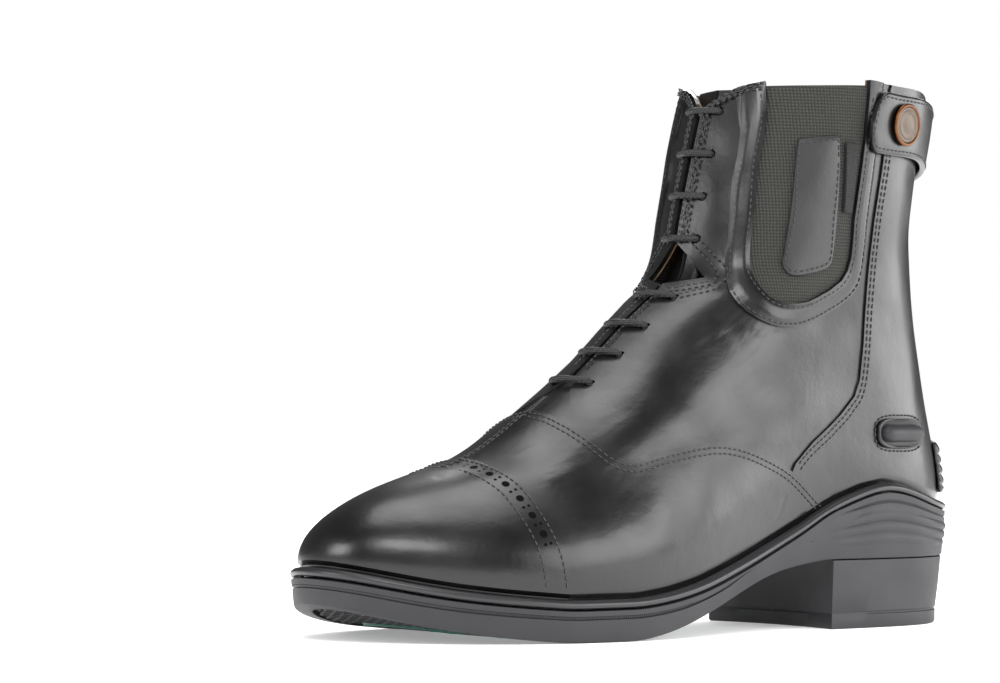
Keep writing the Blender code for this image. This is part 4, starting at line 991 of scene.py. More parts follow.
@dataclass
class Broguing:
    """Punched holes along the toe cap, drawn as flat dark discs of painted shade: one row of large ones with
    small pairs between.
    """

    pitch: float = 7.4 * MM
    large: float = 1.35 * MM
    small: float = 0.55 * MM
    aside: float = 4.1 * MM
    lowest: float = 0.0165
    most: int = 12

    def build(self) -> bpy.types.Object:
        """Lays the row of dark discs round the cap, painted shade for the punched holes, and returns it."""
        lines = []
        for side in (Side.OUTER, Side.INNER):
            line = soft_line(np.array(CAP_SEAM[1:-1], float) * (SOLE_LENGTH, SHAFT_HEIGHT), 10)
            ahead = np.gradient(line, axis=0)
            ahead /= np.linalg.norm(ahead, axis=1, keepdims=True)
            line = line + np.stack([-ahead[:, 1], ahead[:, 0]], 1) * self.aside
            angle, level = LAST.place(line[:, 0], line[:, 1], side)
            points, out = LEATHERWORK.at(angle, level, 2 * OVERLAY + 0.03 * MM)
            lines.append((points, out))
        points = np.concatenate([lines[0][0][::-1], lines[1][0]])
        out = np.concatenate([lines[0][1][::-1], lines[1][1]])
        gone = np.concatenate([[0], np.cumsum(np.linalg.norm(np.diff(points, axis=0), axis=1))])
        middle = gone[-1] / 2
        spots = []
        for number in range(-self.most, self.most + 1):
            for shift, aside, size in ((0, 0, self.large), (0.5, 1.0, self.small), (0.5, -1.0, self.small)):
                stop = middle + (number + shift) * self.pitch
                if not 2 * MM < stop < gone[-1] - 2 * MM:
                    continue
                at = np.array([np.interp(stop, gone, points[:, i]) for i in range(3)])
                up = np.array([np.interp(stop, gone, out[:, i]) for i in range(3)])
                ahead = np.array([np.interp(stop + MM, gone, points[:, i]) for i in range(3)]) - at
                if at[2] < self.lowest:
                    continue
                across = np.cross(up, ahead)
                across /= np.linalg.norm(across)
                at = at + across * aside * MM
                spots.append(frames(at[None], ahead[None], up[None], (size, size, 0.12 * MM))[0])
        # Each hole is a flat disc whose dark colour is painted shade; nothing is cut out of the cap.
        disc = bmesh.new()
        bmesh.ops.create_circle(disc, cap_ends=True, segments=14, radius=1)
        holes = scatter("brogue_hole_shade", disc, np.array(spots), HOLE_SHADE)
        return holes


@dataclass
class CupSole:
    """The rubber cup with its ribs, its bead, its heel block and its tread."""

    columns: int = 224
    edge_round: float = 0.9 * MM
    bar_names: tuple[str, ...] = ("bar_front", "bar_rear", "waist_bar", "plate")

    def __post_init__(self) -> None:
        """Reads the cup's edge round the boot."""
        self.turns = np.arange(self.columns) * 2 * pi / self.columns
        self.rims = LAST.rim_level(self.turns)
        self.heights = LAST.surface(self.turns, self.rims)[:, 2]
        self.reach = GAP + WELT_REACH

    def ground(self, points: np.ndarray, lift: float = 0.0) -> np.ndarray:
        """Returns points set on the tread."""
        points = points.copy()
        points[:, 2] = LAST.tread(LAST.along(points)) + lift
        return points

    def wall(self) -> list[np.ndarray]:
        """Returns the cup's outer rings, from the tread to the rim."""
        full = np.full(self.columns, self.reach)
        outline = LAST.outside(self.turns, self.rims * 0.35, full)
        inner = LAST.outside(self.turns, self.rims * 0.35, full - self.edge_round)
        rings = [self.ground(inner), self.ground((inner + 2 * outline) / 3, 0.3 * MM)]
        rings.append(self.ground(outline, 1.0 * MM))
        rings.append(LAST.outside(self.turns, self.rims * 0.6, full))
        share = LAST.along(LAST.surface(self.turns, self.rims)) / SOLE_LENGTH
        fade = np.clip((share - 0.44) / 0.08, 0, 1)
        behind = np.clip((0.36 - share) / 0.06, 0, 1)
        ribbed = np.clip(share / 0.05, 0, 1) * np.clip((0.30 - share) / 0.05, 0, 1)
        low = LAST.tread(share * SOLE_LENGTH) + 1.0 * MM
        rows = [(0.17, 0.0)]
        for rib in range(3):
            start = 0.20 + 0.18 * rib
            rows += [(start, 0.0), (start + 0.03, 0.5), (start + 0.09, 0.75), (start + 0.14, 0.5)]
        rows += [(0.74, 0.0), (0.84, 0.0), (0.87, -0.5), (0.90, 0.0)]
        count = np.arange(len(rows))
        drops = np.interp(count, (0, 5, 7, 10, 12, len(rows) - 1), (2.95, 2.9, 2.5, 1.7, 1.35, 1.2))
        depths = np.interp(count, (0, 6, 7, 10, 11, len(rows) - 1), (0, 0, 0.8, 0.8, 0, 0))
        for (part, lift), drop, deep in zip(rows, drops, depths):
            height = low + (self.heights - low) * part
            ahead = self.heights - drop * MM * np.maximum(fade, 0.3)
            level = LAST.level_at(self.turns, height * behind + ahead * (1 - behind))
            rings.append(LAST.outside(self.turns, level, full + (lift * ribbed - deep * fade) * MM))
        rings.append(LAST.outside(self.turns, self.rims, full))
        return rings

    def cup(self) -> bpy.types.Object:
        """Builds the cup with its sunk tread panel."""
        rings = self.wall()
        rings.append(LAST.outside(self.turns, self.rims, GAP))
        rings.append(LAST.outside(self.turns, self.rims * 0.5, 1.8 * GAP))
        floor = LAST.outside(self.turns, self.rims * 0.0, 1.8 * GAP)
        floor[:, 2] = LAST.bed(LAST.along(floor)) - 0.5 * GAP
        rings.append(floor)
        work = ring_skin(rings, capped=False)
        self.span(work, rings[0])
        self.span(work, rings[-1])
        bmesh.ops.remove_doubles(work, verts=work.verts, dist=0.001 * MM)
        bmesh.ops.recalc_face_normals(work, faces=work.faces)
        cup = put("cup_sole", work, [SOLE_RUBBER], 32)
        cutter = self.recess()
        modifier = cup.modifiers.new("panel", "BOOLEAN")
        modifier.operation = "DIFFERENCE"
        modifier.object = cutter
        modifier.solver = "EXACT"
        graph = bpy.context.evaluated_depsgraph_get()
        cut = bpy.data.meshes.new_from_object(cup.evaluated_get(graph))
        cup.modifiers.clear()
        cup.data = cut
        bpy.data.objects.remove(cutter)
        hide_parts("outsole")
        return cup

    @staticmethod
    def span(work: bmesh.types.BMesh, ring: np.ndarray) -> None:
        """Closes a long ring with straight strips from its one side to its other."""
        spots = [work.verts.new(point) for point in ring]
        count = len(spots)
        for i in range(count // 2):
            near, far = spots[-i % count], spots[-(i + 1) % count]
            corners = list(dict.fromkeys((spots[i], spots[i + 1], far, near)))
            if len(corners) > 2:
                work.faces.new(corners)

    def panel_outline(self, inset: float) -> np.ndarray:
        """Returns the sunk panel's outline, with its rounded back end."""
        outline = LAST.outside(self.turns, self.rims * 0.35, self.reach - inset)
        half = self.columns // 2
        back, rounding = 0.640, 0.045
        keep = [i for i in range(half) if LAST.along(outline[i]) > (back + rounding) * SOLE_LENGTH]
        outer = [outline[i] for i in keep]
        inner = [outline[-i] for i in keep[1:]]
        for share in (0.93, 0.85, 0.72, 0.56, 0.38, 0.2):
            u = SOLE_LENGTH * (back + rounding * (1 - math.sqrt(1 - share**2)))
            last_outer, last_inner = outline[keep[-1]], outline[-keep[-1]]
            middle = (last_outer[1] + last_inner[1]) / 2
            for chain, last in ((outer, last_outer), (inner, last_inner)):
                x = SOLE_LENGTH / 2 - u + LAST.shift[0]
                chain.append(np.array((x, middle + (last[1] - middle) * share, 0)))
        return np.array(outer + inner[::-1])

    def recess(self) -> bpy.types.Object:
        """Builds the cutter for the sunk panel."""
        ring = self.panel_outline(6.5 * MM)
        work = ring_skin([self.ground(ring, -6 * MM), self.ground(ring, 1.6 * MM)], capped=False)
        for lift in (-6 * MM, 1.6 * MM):
            self.span(work, self.ground(ring, lift))
        bmesh.ops.remove_doubles(work, verts=work.verts, dist=0.001 * MM)
        bmesh.ops.recalc_face_normals(work, faces=work.faces)
        mesh = bpy.data.meshes.new("recess")
        work.to_mesh(mesh)
        work.free()
        cutter = bpy.data.objects.new("recess", mesh)
        bpy.context.scene.collection.objects.link(cutter)
        cutter.hide_render = True
        return cutter

    def bead(self) -> bpy.types.Object:
        """Builds the rolled bead over the cup's edge."""
        loops = []
        for turn in np.linspace(0, 2 * pi, 12, endpoint=False):
            share = 0.5 - 0.5 * math.cos(turn) * 0.98
            reach = 0.46 + 0.66 * math.sin(turn)
            level = LAST.level_at(self.turns, self.heights + GAP + share * WELT_HEIGHT)
            loops.append(LAST.outside(self.turns, level, 0.3 * GAP + max(reach, 0.0) * WELT_REACH))
        bead = put("rolled_bead", ring_skin(loops, closed=True), [BEAD_RUBBER], 80)
        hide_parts("welt")
        return bead

    def knurl(self) -> bpy.types.Object:
        """Cuts the small upright marks in the groove under the bead, in front."""
        count = 620
        turns = np.linspace(-2.05, 2.05, count)
        rims = LAST.rim_level(turns)
        heights = LAST.surface(turns, rims)[:, 2]
        level = LAST.level_at(turns, heights - 2.1 * MM)
        share = LAST.along(LAST.surface(turns, rims)) / SOLE_LENGTH
        keep = share > 0.53
        points = LAST.outside(turns, level, self.reach - 0.72 * MM)[keep]
        out = LAST.normals(turns, level)[keep]
        ahead = np.gradient(points, axis=0)
        lug = bmesh.new()
        bmesh.ops.create_cube(lug, size=2)
        piece = scatter(
            "groove_marks", lug, frames(points, ahead, out, (0.28 * MM, 0.42 * MM, 0.22 * MM)), SOLE_RUBBER
        )
        return piece

    def heel_block(self) -> bpy.types.Object:
        """Builds the heel block, with its hollow breast and softened edges."""
        breast = 0.288 * SOLE_LENGTH
        outline = LAST.outside(self.turns, self.rims * 0.35, self.reach - 0.4 * MM)
        back = outline[[i for i in range(self.columns) if LAST.along(outline[i]) < breast - 0.6 * MM]]
        half = self.columns // 2
        outer = np.interp(-breast, -LAST.along(outline[:half]), outline[:half, 1])
        turned = outline[half:][::-1]
        inner = np.interp(-breast, -LAST.along(turned), turned[:, 1])
        start = SOLE_LENGTH / 2 - breast + LAST.shift[0]
        front = []
        for share in np.linspace(0, 1, 25):
            bow = 0.016 * SOLE_LENGTH * (1 - (2 * share - 1) ** 2)
            front.append((start + bow, inner + (outer - inner) * share, 0))
        ring = np.concatenate([back, front])
        centre = ring.mean(0)
        loops = []
        for height, drawn, pull in (
            (0, 0.960, 0.8), (0.012, 0.962, 0.25), (0.035, 0.965, 0.0), (0.20, 0.966, 0.0),
            (0.215, 0.966, 0.35), (0.235, 0.966, 0.35), (0.25, 0.967, 0.0), (0.6, 0.985, 0.0), (1, 1.0, 0.0),
        ):
            loop = ring.copy()
            loop[:, 0] = start + (loop[:, 0] - start) * drawn
            loop[:, 1] = loop[:, 1] * (0.5 + 0.5 * drawn)
            toward = centre - loop
            toward[:, 2] = 0
            toward /= np.linalg.norm(toward, axis=1, keepdims=True)
            loop = loop + toward * pull * MM
            loop[:, 2] = height * (HEEL_HEIGHT - GAP)
            loops.append(loop)
        heel = put("heel_block", ring_skin(loops), [SOLE_RUBBER], 38)
        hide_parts("heel")
        return heel

    def tread(self) -> bpy.types.Object:
        """Lays the herringbone lugs in the sunk panel."""
        outline = self.panel_outline(9.0 * MM)[:, :2]
        spots = []
        row_pitch, swing, slant = 3.3 * MM, 2.5 * MM, math.radians(38)
        for row in range(30):
            u = 0.652 * SOLE_LENGTH + row * row_pitch
            for column in range(-22, 23):
                y = column * swing + 0.03 * BALL_WIDTH
                x = SOLE_LENGTH / 2 - u + LAST.shift[0]
                if not self.within((x, y), outline) or self.on_bar(u, y):
                    continue
                turn = slant if column % 2 else -slant
                down = float(LAST.tread(np.array(u)))
                slope = float(LAST.tread(np.array(u + MM)) - LAST.tread(np.array(u - MM))) / (2 * MM)
                ahead = np.array((math.sin(turn), math.cos(turn), 0.0))
                ahead[2] = -slope * ahead[0]
                up = np.array((slope, 0, 1.0))
                up /= np.linalg.norm(up)
                at = np.array((x, y, down + 0.95 * MM))
                spots.append(frames(at[None], ahead[None], up[None], (1.62 * MM, 0.62 * MM, 0.72 * MM))[0])
        lug = bmesh.new()
        bmesh.ops.create_cube(lug, size=2)
        for spot in lug.verts:
            if spot.co.z < 0:
                spot.co.y *= 0.7
        lugs = scatter("herringbone_lugs", lug, np.array(spots), SOLE_RUBBER)
        return lugs

    def on_bar(self, u: float, y: float) -> bool:
        """Tells whether a place lies in one of the two bars' grooves."""
        for centre, low, high, bow in ((0.875, -0.22, 0.36, 0.030), (0.775, -0.33, 0.37, 0.035)):
            share = (y / BALL_WIDTH - low) / (high - low)
            middle = (centre - bow * (2 * share - 1) ** 2) * SOLE_LENGTH
            if -0.12 < share < 1.12 and abs(u - middle) < 3.6 * MM:
                return True
        return False

    def within(self, spot: tuple[float, float], outline: np.ndarray) -> bool:
        """Tells whether a spot lies inside an outline."""
        x, y = spot
        odd = False
        for (ax, ay), (bx, by) in zip(outline, np.roll(outline, -1, axis=0)):
            if (ay > y) != (by > y) and x < (bx - ax) * (y - ay) / (by - ay) + ax:
                odd = not odd
        return odd

    def build(self, frame: dict) -> None:
        """Builds the sole's pieces and dresses the inserts."""
        self.cup()
        self.bead()
        self.knurl()
        self.heel_block()
        self.tread()
        for name in self.bar_names:
            dress(frame, name, INSERT_RUBBER)


def dress(frame: dict, name: str, finish: Finish) -> bpy.types.Object:
    """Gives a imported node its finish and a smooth, welded surface."""
    node = frame["nodes"][name]
    node.data.materials.clear()
    node.data.materials.append(finish.material())
    for face in node.data.polygons:
        face.use_smooth = True
    weld = node.modifiers.new("weld", "WELD")
    weld.merge_threshold = 0.002 * MM
    return node


@dataclass
class StrapAndSnap:
    """The strap round the back of the collar and its press stud."""

    thick: float = 2.0 * MM
    lift: float = 1.9 * OVERLAY + 1.2 * GAP
    snap_at: tuple[float, float] = (0.192, 0.934)
    snap_width: float = 15.0 * MM
    front_end: float = 0.252
    under_collar: float = 3.0 * MM
    depth: float = 21.2 * MM

    def strap(self, stitching: Stitching) -> bpy.types.Object:
        """Builds the strap with rounded edges, and sews its two rows."""
        end = np.array(SOLE_LENGTH * self.front_end)
        angle = float(LAST.place(end, np.array(0.93 * SHAFT_HEIGHT), Side.OUTER)[0])
        turns = np.linspace(angle, 2 * pi - angle, 90)
        starts = angle + np.array((0.0015, 0.006, 0.015, 0.028, 0.045, 0.065, 0.09))
        turns = np.concatenate([starts, turns[turns > starts[-1] + 0.01]])
        loops = []
        tops = []
        lows = []
        for turn in turns:
            top = float(LAST.collar_height(np.array([turn]))[0]) - self.under_collar
            low = top - self.depth - 0.6 * MM * math.cos(turn)
            middle, height = (top + low) / 2, (top - low) / 2
            gone = np.clip((turn - angle) / 0.10, 0, 1)
            height *= math.sqrt(max(1 - (1 - gone) ** 2, 0.04))
            lift = self.lift + 1.0 * MM * math.exp(-(((turn - pi) / 0.35) ** 2))
            row = []
            for share, out in (
                (-0.97, 0.0), (-0.5, 0.0), (0, 0.0), (0.5, 0), (0.97, 0.0), (1.0, 0.25), (1.0, 0.7),
                (0.965, 0.95), (0.9, 1.0), (0.5, 1.03), (0, 1.05), (-0.5, 1.03), (-0.9, 1.0), (-0.965, 0.95),
                (-1.0, 0.7), (-1.0, 0.25),
            ):
                level = LAST.level_at(turn, middle + share * height)
                row.append(LAST.outside(turn, level, lift + out * self.thick))
            loops.append(np.array(row))
            for rows, share in ((tops, 0.84), (lows, -0.84)):
                level = LAST.level_at(turn, middle + share * height)
                rows.append((LAST.outside(turn, level, lift + 1.04 * self.thick), LAST.normals(turn, level)))
        strap = put("strap_band", ring_skin(loops), [UPPER_LEATHER], 60)
        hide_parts("strap")
        chain = lows[::-1][:-2] + tops[2:]
        stitching.sew(np.array([spot for spot, _ in chain]), np.array([out for _, out in chain]))
        return strap

    def snap(self) -> None:
        """Turns the stud's cap: a domed centre, a ring and a rolled rim."""
        angle, level = LAST.place(
            np.array(self.snap_at[0] * SOLE_LENGTH), np.array(self.snap_at[1] * SHAFT_HEIGHT), Side.OUTER
        )
        middle = LAST.surface(angle, level)
        out = LAST.normals(angle, level)
        base = middle + out * (self.lift + self.thick + 2 * GAP)
        turn = Vector(out).to_track_quat("Z", "Y").to_matrix().to_4x4()
        turn.translation = Vector(base)
        rim = (
            (0.88, 0.0), (0.97, 0.15), (1.0, 0.55), (0.995, 0.95), (0.96, 1.3), (0.91, 1.42), (0.86, 1.36),
            (0.83, 1.1), (0.83, 0.0),
        )
        plate = (
            (0.825, 0.4), (0.825, 1.0), (0.80, 1.12), (0.74, 1.12), (0.71, 1.02), (0.68, 1.02), (0.65, 1.2),
            (0.60, 1.22), (0.56, 1.08), (0.40, 1.16), (0.22, 1.36), (0.1, 1.42), (0.0, 1.43),
        )
        for name, profile, finish in (("snap_rim", rim, SNAP_RIM), ("snap_plate", plate, SNAP_PLATE)):
            work = bmesh.new()
            spots = [work.verts.new((share * self.snap_width / 2, 0, lift * MM)) for share, lift in profile]
            edges = [work.edges.new(pair) for pair in zip(spots, spots[1:])]
            bmesh.ops.spin(
                work, geom=spots + edges, cent=(0, 0, 0), axis=(0, 0, 1), angle=2 * pi, steps=72,
                use_merge=True, use_duplicate=False,
            )
            bmesh.ops.remove_doubles(work, verts=work.verts, dist=0.003 * MM)
            bmesh.ops.holes_fill(work, edges=work.edges, sides=0)
            bmesh.ops.recalc_face_normals(work, faces=work.faces)
            bmesh.ops.transform(work, matrix=turn, verts=work.verts)
            piece = put(name, work, [finish], 45)
            if name == "snap_rim":
                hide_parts("snap")

    def build(self, stitching: Stitching) -> None:
        """Builds the strap and the stud."""
        self.strap(stitching)
        self.snap()


# Stitch rows round the notch and down the lower facings, as half widths in shares of the ball width and
# heights in shares of the shaft height. THROAT_HALF is the slot's half width in shares of the ball width.
NOTCH_ROWS = (
    ((0.040, 0.716), (0.100, 0.690), (0.187, 0.650), (0.192, 0.632), (0.115, 0.621), (0.040, 0.616)),
    ((0.062, 0.724), (0.120, 0.698), (0.214, 0.655), (0.219, 0.625), (0.135, 0.607), (0.062, 0.602)),
    ((0.030, 0.608), (0.030, 0.470)),
)
THROAT_HALF = 0.009


def edge_bands(stitching: Stitching) -> None:
    """Sews the braided rows under the collar's edge and beside the throat's two edges."""
    high = 1.5 * OVERLAY
    count = 60
    front = np.linspace(0.10, 0.625, count)
    zigzag = np.where(np.arange(count) % 2, 1, -1)
    step = high + np.interp(front, (0.42, 0.47), (0.0, 0.9)) * OVERLAY
    for side in (1, -1):
        for under, wave in ((0.9 * MM, 0.0), (3.1 * MM, 0.0), (2.0 * MM, 0.75 * MM)):
            angle = front * side
            height = LAST.collar_height(angle) - under + wave * zigzag
            stitching.row(angle, LAST.level_at(angle, height), step)
        for aside, wave in ((1.0 * MM, 0.0), (3.2 * MM, 0.0), (2.1 * MM, 0.75 * MM)):
            heights = np.linspace(0.955, 0.70, 56)
            halves = THROAT_HALF * BALL_WIDTH + aside + wave * zigzag[: len(heights)]
            angle = LAST.across(heights * SHAFT_HEIGHT, halves) * side
            stitching.row(angle, LAST.level_at(angle, heights * SHAFT_HEIGHT), high)
        for rows in NOTCH_ROWS:
            line = soft_line(np.array(rows, float) * (BALL_WIDTH, SHAFT_HEIGHT), 6)
            angle = LAST.across(line[:, 1], line[:, 0]) * side
            stitching.row(angle, LAST.level_at(angle, line[:, 1]), 1.15 * OVERLAY)


class Eyelet(NamedTuple):
    """One pair of eyelets: its height in shares of the shaft height, its spread in ones of the ball width."""

    height: float
    spread: float


EYELETS = (
    Eyelet(0.947, 0.082), Eyelet(0.868, 0.082), Eyelet(0.789, 0.083), Eyelet(0.711, 0.085),
    Eyelet(0.603, 0.104), Eyelet(0.549, 0.104), Eyelet(0.497, 0.103), Eyelet(0.445, 0.103),
)


@dataclass
class Lacing:
    """The elastic cord, in bars over the ridge joined by runs inside, and the tongue under it."""

    cord: float = 2.3 * MM
    sides: int = 12

    def path(self) -> np.ndarray:
        """Returns the cord's middle line."""
        radius = self.cord / 2
        inner = -(LEATHER + radius + GAP)
        bar = (
            (1.0, inner), (1.0, -0.3 * LEATHER), (0.985, 0.5 * radius), (0.90, 0.92 * radius),
            (0.70, radius + 0.25 * MM), (0.35, radius + 0.5 * MM), (0.0, radius + 0.6 * MM),
        )
        bar = bar + tuple((-share, reach) for share, reach in bar[-2::-1])
        spots = []
        side = -1
        for number, pair in enumerate(EYELETS):
            height = pair.height * SHAFT_HEIGHT
            angle = LAST.across(height, pair.spread * BALL_WIDTH)
            for share, reach in bar:
                turn = np.array([angle * share * -side])
                spots.append(LAST.outside(turn, LAST.level_at(turn, height), reach)[0])
            if number + 1 < len(EYELETS):
                below = EYELETS[number + 1]
                for share in (0.33, 0.67):
                    middle = height + (below.height * SHAFT_HEIGHT - height) * share
                    half = pair.spread + (below.spread - pair.spread) * share
                    turn = np.array([LAST.across(middle, half * BALL_WIDTH) * side])
                    spots.append(LAST.outside(turn, LAST.level_at(turn, middle), inner - 0.5 * GAP)[0])
            side = -side
        return soft_line(np.array(spots), 4)

    def thread_cord(self) -> bpy.types.Object:
        """Sweeps the round cord along its path."""
        line = self.path()
        LOG.info("the cord is %.3f m long", np.linalg.norm(np.diff(line, axis=0), axis=1).sum())
        ahead = np.gradient(line, axis=0)
        ahead /= np.linalg.norm(ahead, axis=1, keepdims=True)
        side = np.cross(ahead[0], (0, 0, 1.0))
        turns = np.arange(self.sides) * 2 * pi / self.sides
        loops = []
        for point, tangent in zip(line, ahead):
            side = side - tangent * (side @ tangent)
            side /= np.linalg.norm(side)
            other = np.cross(tangent, side)
            circle = np.outer(np.cos(turns), side) + np.outer(np.sin(turns), other)
            loops.append(point + self.cord / 2 * circle)
        cord = put("elastic_cord", ring_skin(loops), [CORD], 80)
        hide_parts("lace")
        return cord

    def tongue(self) -> bpy.types.Object:
        """Builds the tongue as a bent sheet under the throat."""
        shares = np.linspace(-1, 1, 25)
        loops = []
        deep_full = LEATHER + self.cord + 5 * GAP
        for level in np.linspace(4.6, 12.75, 60):
            half = np.interp(level, (4.6, 6, 9, 13), (0.55, 0.62, 0.62, 0.70))
            deep = np.interp(level, (4.6, 5.6), (LEATHER + 2 * GAP, deep_full))
            outer = LAST.outside(shares * half, np.full(25, level), -deep)
            inner = LAST.outside(shares * half, np.full(25, level), -deep - 0.8 * LEATHER)
            loops.append(np.concatenate([outer, inner[::-1]]))
        tongue = put("tongue_sheet", ring_skin(loops), [UPPER_LEATHER], 60)
        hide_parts("tongue")
        return tongue

    def build(self) -> None:
        """Builds the cord and the tongue."""
        self.thread_cord()
        self.tongue()


@dataclass
class Shaft:
    """The elastic panels at the shaft's two sides, their facings and the bare tab."""

    facing: tuple[tuple[float, float], ...] = (
        (0.2955, 0.905), (0.3435, 0.896), (0.3475, 0.870), (0.356, 0.780), (0.3655, 0.690), (0.369, 0.668),
        (0.366, 0.652), (0.355, 0.645), (0.330, 0.651), (0.308, 0.660), (0.2985, 0.672), (0.2965, 0.700),
        (0.2952, 0.780), (0.2948, 0.860),
    )
    tab: tuple[tuple[float, float], ...] = (
        (0.268, 0.892), (0.286, 0.892), (0.285, 0.830), (0.2842, 0.765), (0.2695, 0.765), (0.268, 0.830),
    )

    def sheet(
        self, name: str, outline: np.ndarray, side: Side, low: float, high: float, finish: Finish
    ) -> bpy.types.Object:
        """Builds a crowned sheet over the shaft from its closed outline.

        Args:
            name: the piece's name.
            outline: places from the side, in metres.
            side: the side of the boot.
            low: the reach of its under face.
            high: the reach of its upper face.
            finish: its material.

        Returns:
            The sheet.
        """
        middle = outline.mean(0)
        loops = []
        rounded = [(1.0, low), (1.0, low + 0.6 * (high - low)), (0.985, high - 0.05 * (high - low))]
        for share, reach in rounded + [(share, high) for share in (0.95, 0.8, 0.6, 0.4, 0.2, 0.05)]:
            line = middle + (outline - middle) * share
            angle, level = LAST.place(line[:, 0], line[:, 1], side)
            loops.append(LAST.outside(angle, level, reach))
        return put(name, ring_skin(loops), [finish], 50)

    def build(self, stitching: Stitching) -> None:
        """Builds both sides and sews the facings."""
        for side, word in ((Side.OUTER, "lateral"), (Side.INNER, "medial")):
            edge = soft_line(np.array(GUSSET_EDGE, float) * (SOLE_LENGTH, SHAFT_HEIGHT), 8)
            edge = edge[edge[:, 1] < 0.996 * SHAFT_HEIGHT]
            centre = edge.mean(0)
            grown = edge + (edge - centre) / np.linalg.norm(edge - centre, axis=1, keepdims=True) * 1.2 * MM
            top = np.linspace(grown[-1], grown[0], 14)[1:-1]
            outline = np.concatenate([grown, top])
            elastic = self.sheet("elastic_" + word, outline, side, -1.7 * MM, -0.55 * MM, ELASTIC)
            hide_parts("gusset_" + word)
            corners = np.array(self.facing, float) * (SOLE_LENGTH, SHAFT_HEIGHT)
            face = np.concatenate([corners[:1], soft_line(corners[1:], 4)])
            head = [np.linspace(face[-1], face[0], 5)[1:-1], np.linspace(face[0], face[1], 6)[:-1]]
            face = np.concatenate([*head, face[1:]])
            patch = self.sheet("facing_" + word, face, side, -0.6 * MM, 0.7 * MM, PATCH_LEATHER)
            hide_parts("patch_" + word)
            toward = face.mean(0) - face
            inset = face + toward / np.linalg.norm(toward, axis=1, keepdims=True) * 1.5 * MM
            angle, level = LAST.place(inset[:, 0], inset[:, 1], side)
            stitching.sew(LAST.outside(angle, level, 0.8 * MM), LAST.normals(angle, level))
        tab = np.array(self.tab) * (SOLE_LENGTH, SHAFT_HEIGHT)
        outline = np.concatenate([np.linspace(a, b, 6)[:-1] for a, b in zip(tab, np.roll(tab, -1, axis=0))])
        label = self.sheet("bare_tab", outline, Side.OUTER, -0.4 * MM, 0.9 * MM, TAPE)
        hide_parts("label_tab")


@dataclass
class SpurRests:
    """A rounded rest on a stadium-shaped base at each side of the heel."""

    start: tuple[float, float] = (0.205, 0.360)
    finish: tuple[float, float] = (0.108, 0.360)
    base: float = 5.4 * MM
    tube: float = 3.0 * MM

    def base_loops(self, middle: np.ndarray, half: float, side: Side) -> list[np.ndarray]:
        """Returns the rings of the flat base with its raised lip."""
        turns = np.arange(48) * 2 * pi / 48
        round_it = np.stack([np.cos(turns), np.sin(turns)], 1)
        round_it = np.sign(round_it) * np.abs(round_it) ** 0.62
        rings = []
        for share, reach in (
            (1.0, 0.0), (1.0, 0.7), (0.98, 0.95), (0.92, 1.0), (0.84, 0.6), (0.5, 0.55), (0.1, 0.55),
        ):
            line = middle + round_it * (half * share, self.base * share)
            angle, level = LAST.place(line[:, 0], line[:, 1], side)
            rings.append(LAST.outside(angle, level, OVERLAY + GAP + reach * MM))
        return rings

    def tube_loops(self, middle: np.ndarray, half: float, side: Side) -> list[np.ndarray]:
        """Returns the rings of the rounded tube, with its blunt front end."""
        turns = np.linspace(-0.12 * pi, 1.12 * pi, 15)
        shares = np.sin(np.linspace(-pi / 2, pi / 2, 25))
        wide = self.tube * np.sqrt(np.maximum(1 - np.abs(shares) ** 8, 0)) + 0.05 * MM
        along = middle[0] - shares * half * 0.84
        heights = middle[1] + np.cos(turns) * wide[:, None]
        spots = np.stack(np.broadcast_arrays(along[:, None], heights), -1).reshape(-1, 2)
        lift = (OVERLAY + GAP + 0.5 * MM + np.sin(turns) * wide[:, None] * 1.15).reshape(-1)
        angle, level = LAST.place(spots[:, 0], spots[:, 1], side)
        points = LAST.surface(angle, level) + LAST.normals(angle, level) * lift[:, None]
        return list(points.reshape(len(shares), len(turns), 3))

    def build(self, stitching: Stitching) -> None:
        """Builds both rests and sews round them."""
        scale = np.array((SOLE_LENGTH, SHAFT_HEIGHT))
        first, last = np.array(self.start) * scale, np.array(self.finish) * scale
        middle = (first + last) / 2
        half = (first - last)[0] / 2
        turns = np.linspace(0, 2 * pi, 61)
        round_it = np.stack([np.cos(turns), np.sin(turns)], 1)
        round_it = np.sign(round_it) * np.abs(round_it) ** 0.62
        for side, word in ((Side.OUTER, "lateral"), (Side.INNER, "medial")):
            base = ring_skin(self.base_loops(middle, half, side))
            rest = put("spur_base_" + word, base, [TRIM_RUBBER], 50)
            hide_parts("spur_rest_" + word)
            tube = ring_skin(self.tube_loops(middle, half, side))
            bar = put("spur_bar_" + word, tube, [SOLE_RUBBER], 70)
            line = middle + round_it * (half + 0.9 * MM, self.base + 0.9 * MM)
            angle, level = LAST.place(line[:, 0], line[:, 1], side)
            stitching.sew(LAST.outside(angle, level, OVERLAY + 0.15 * MM), LAST.normals(angle, level))


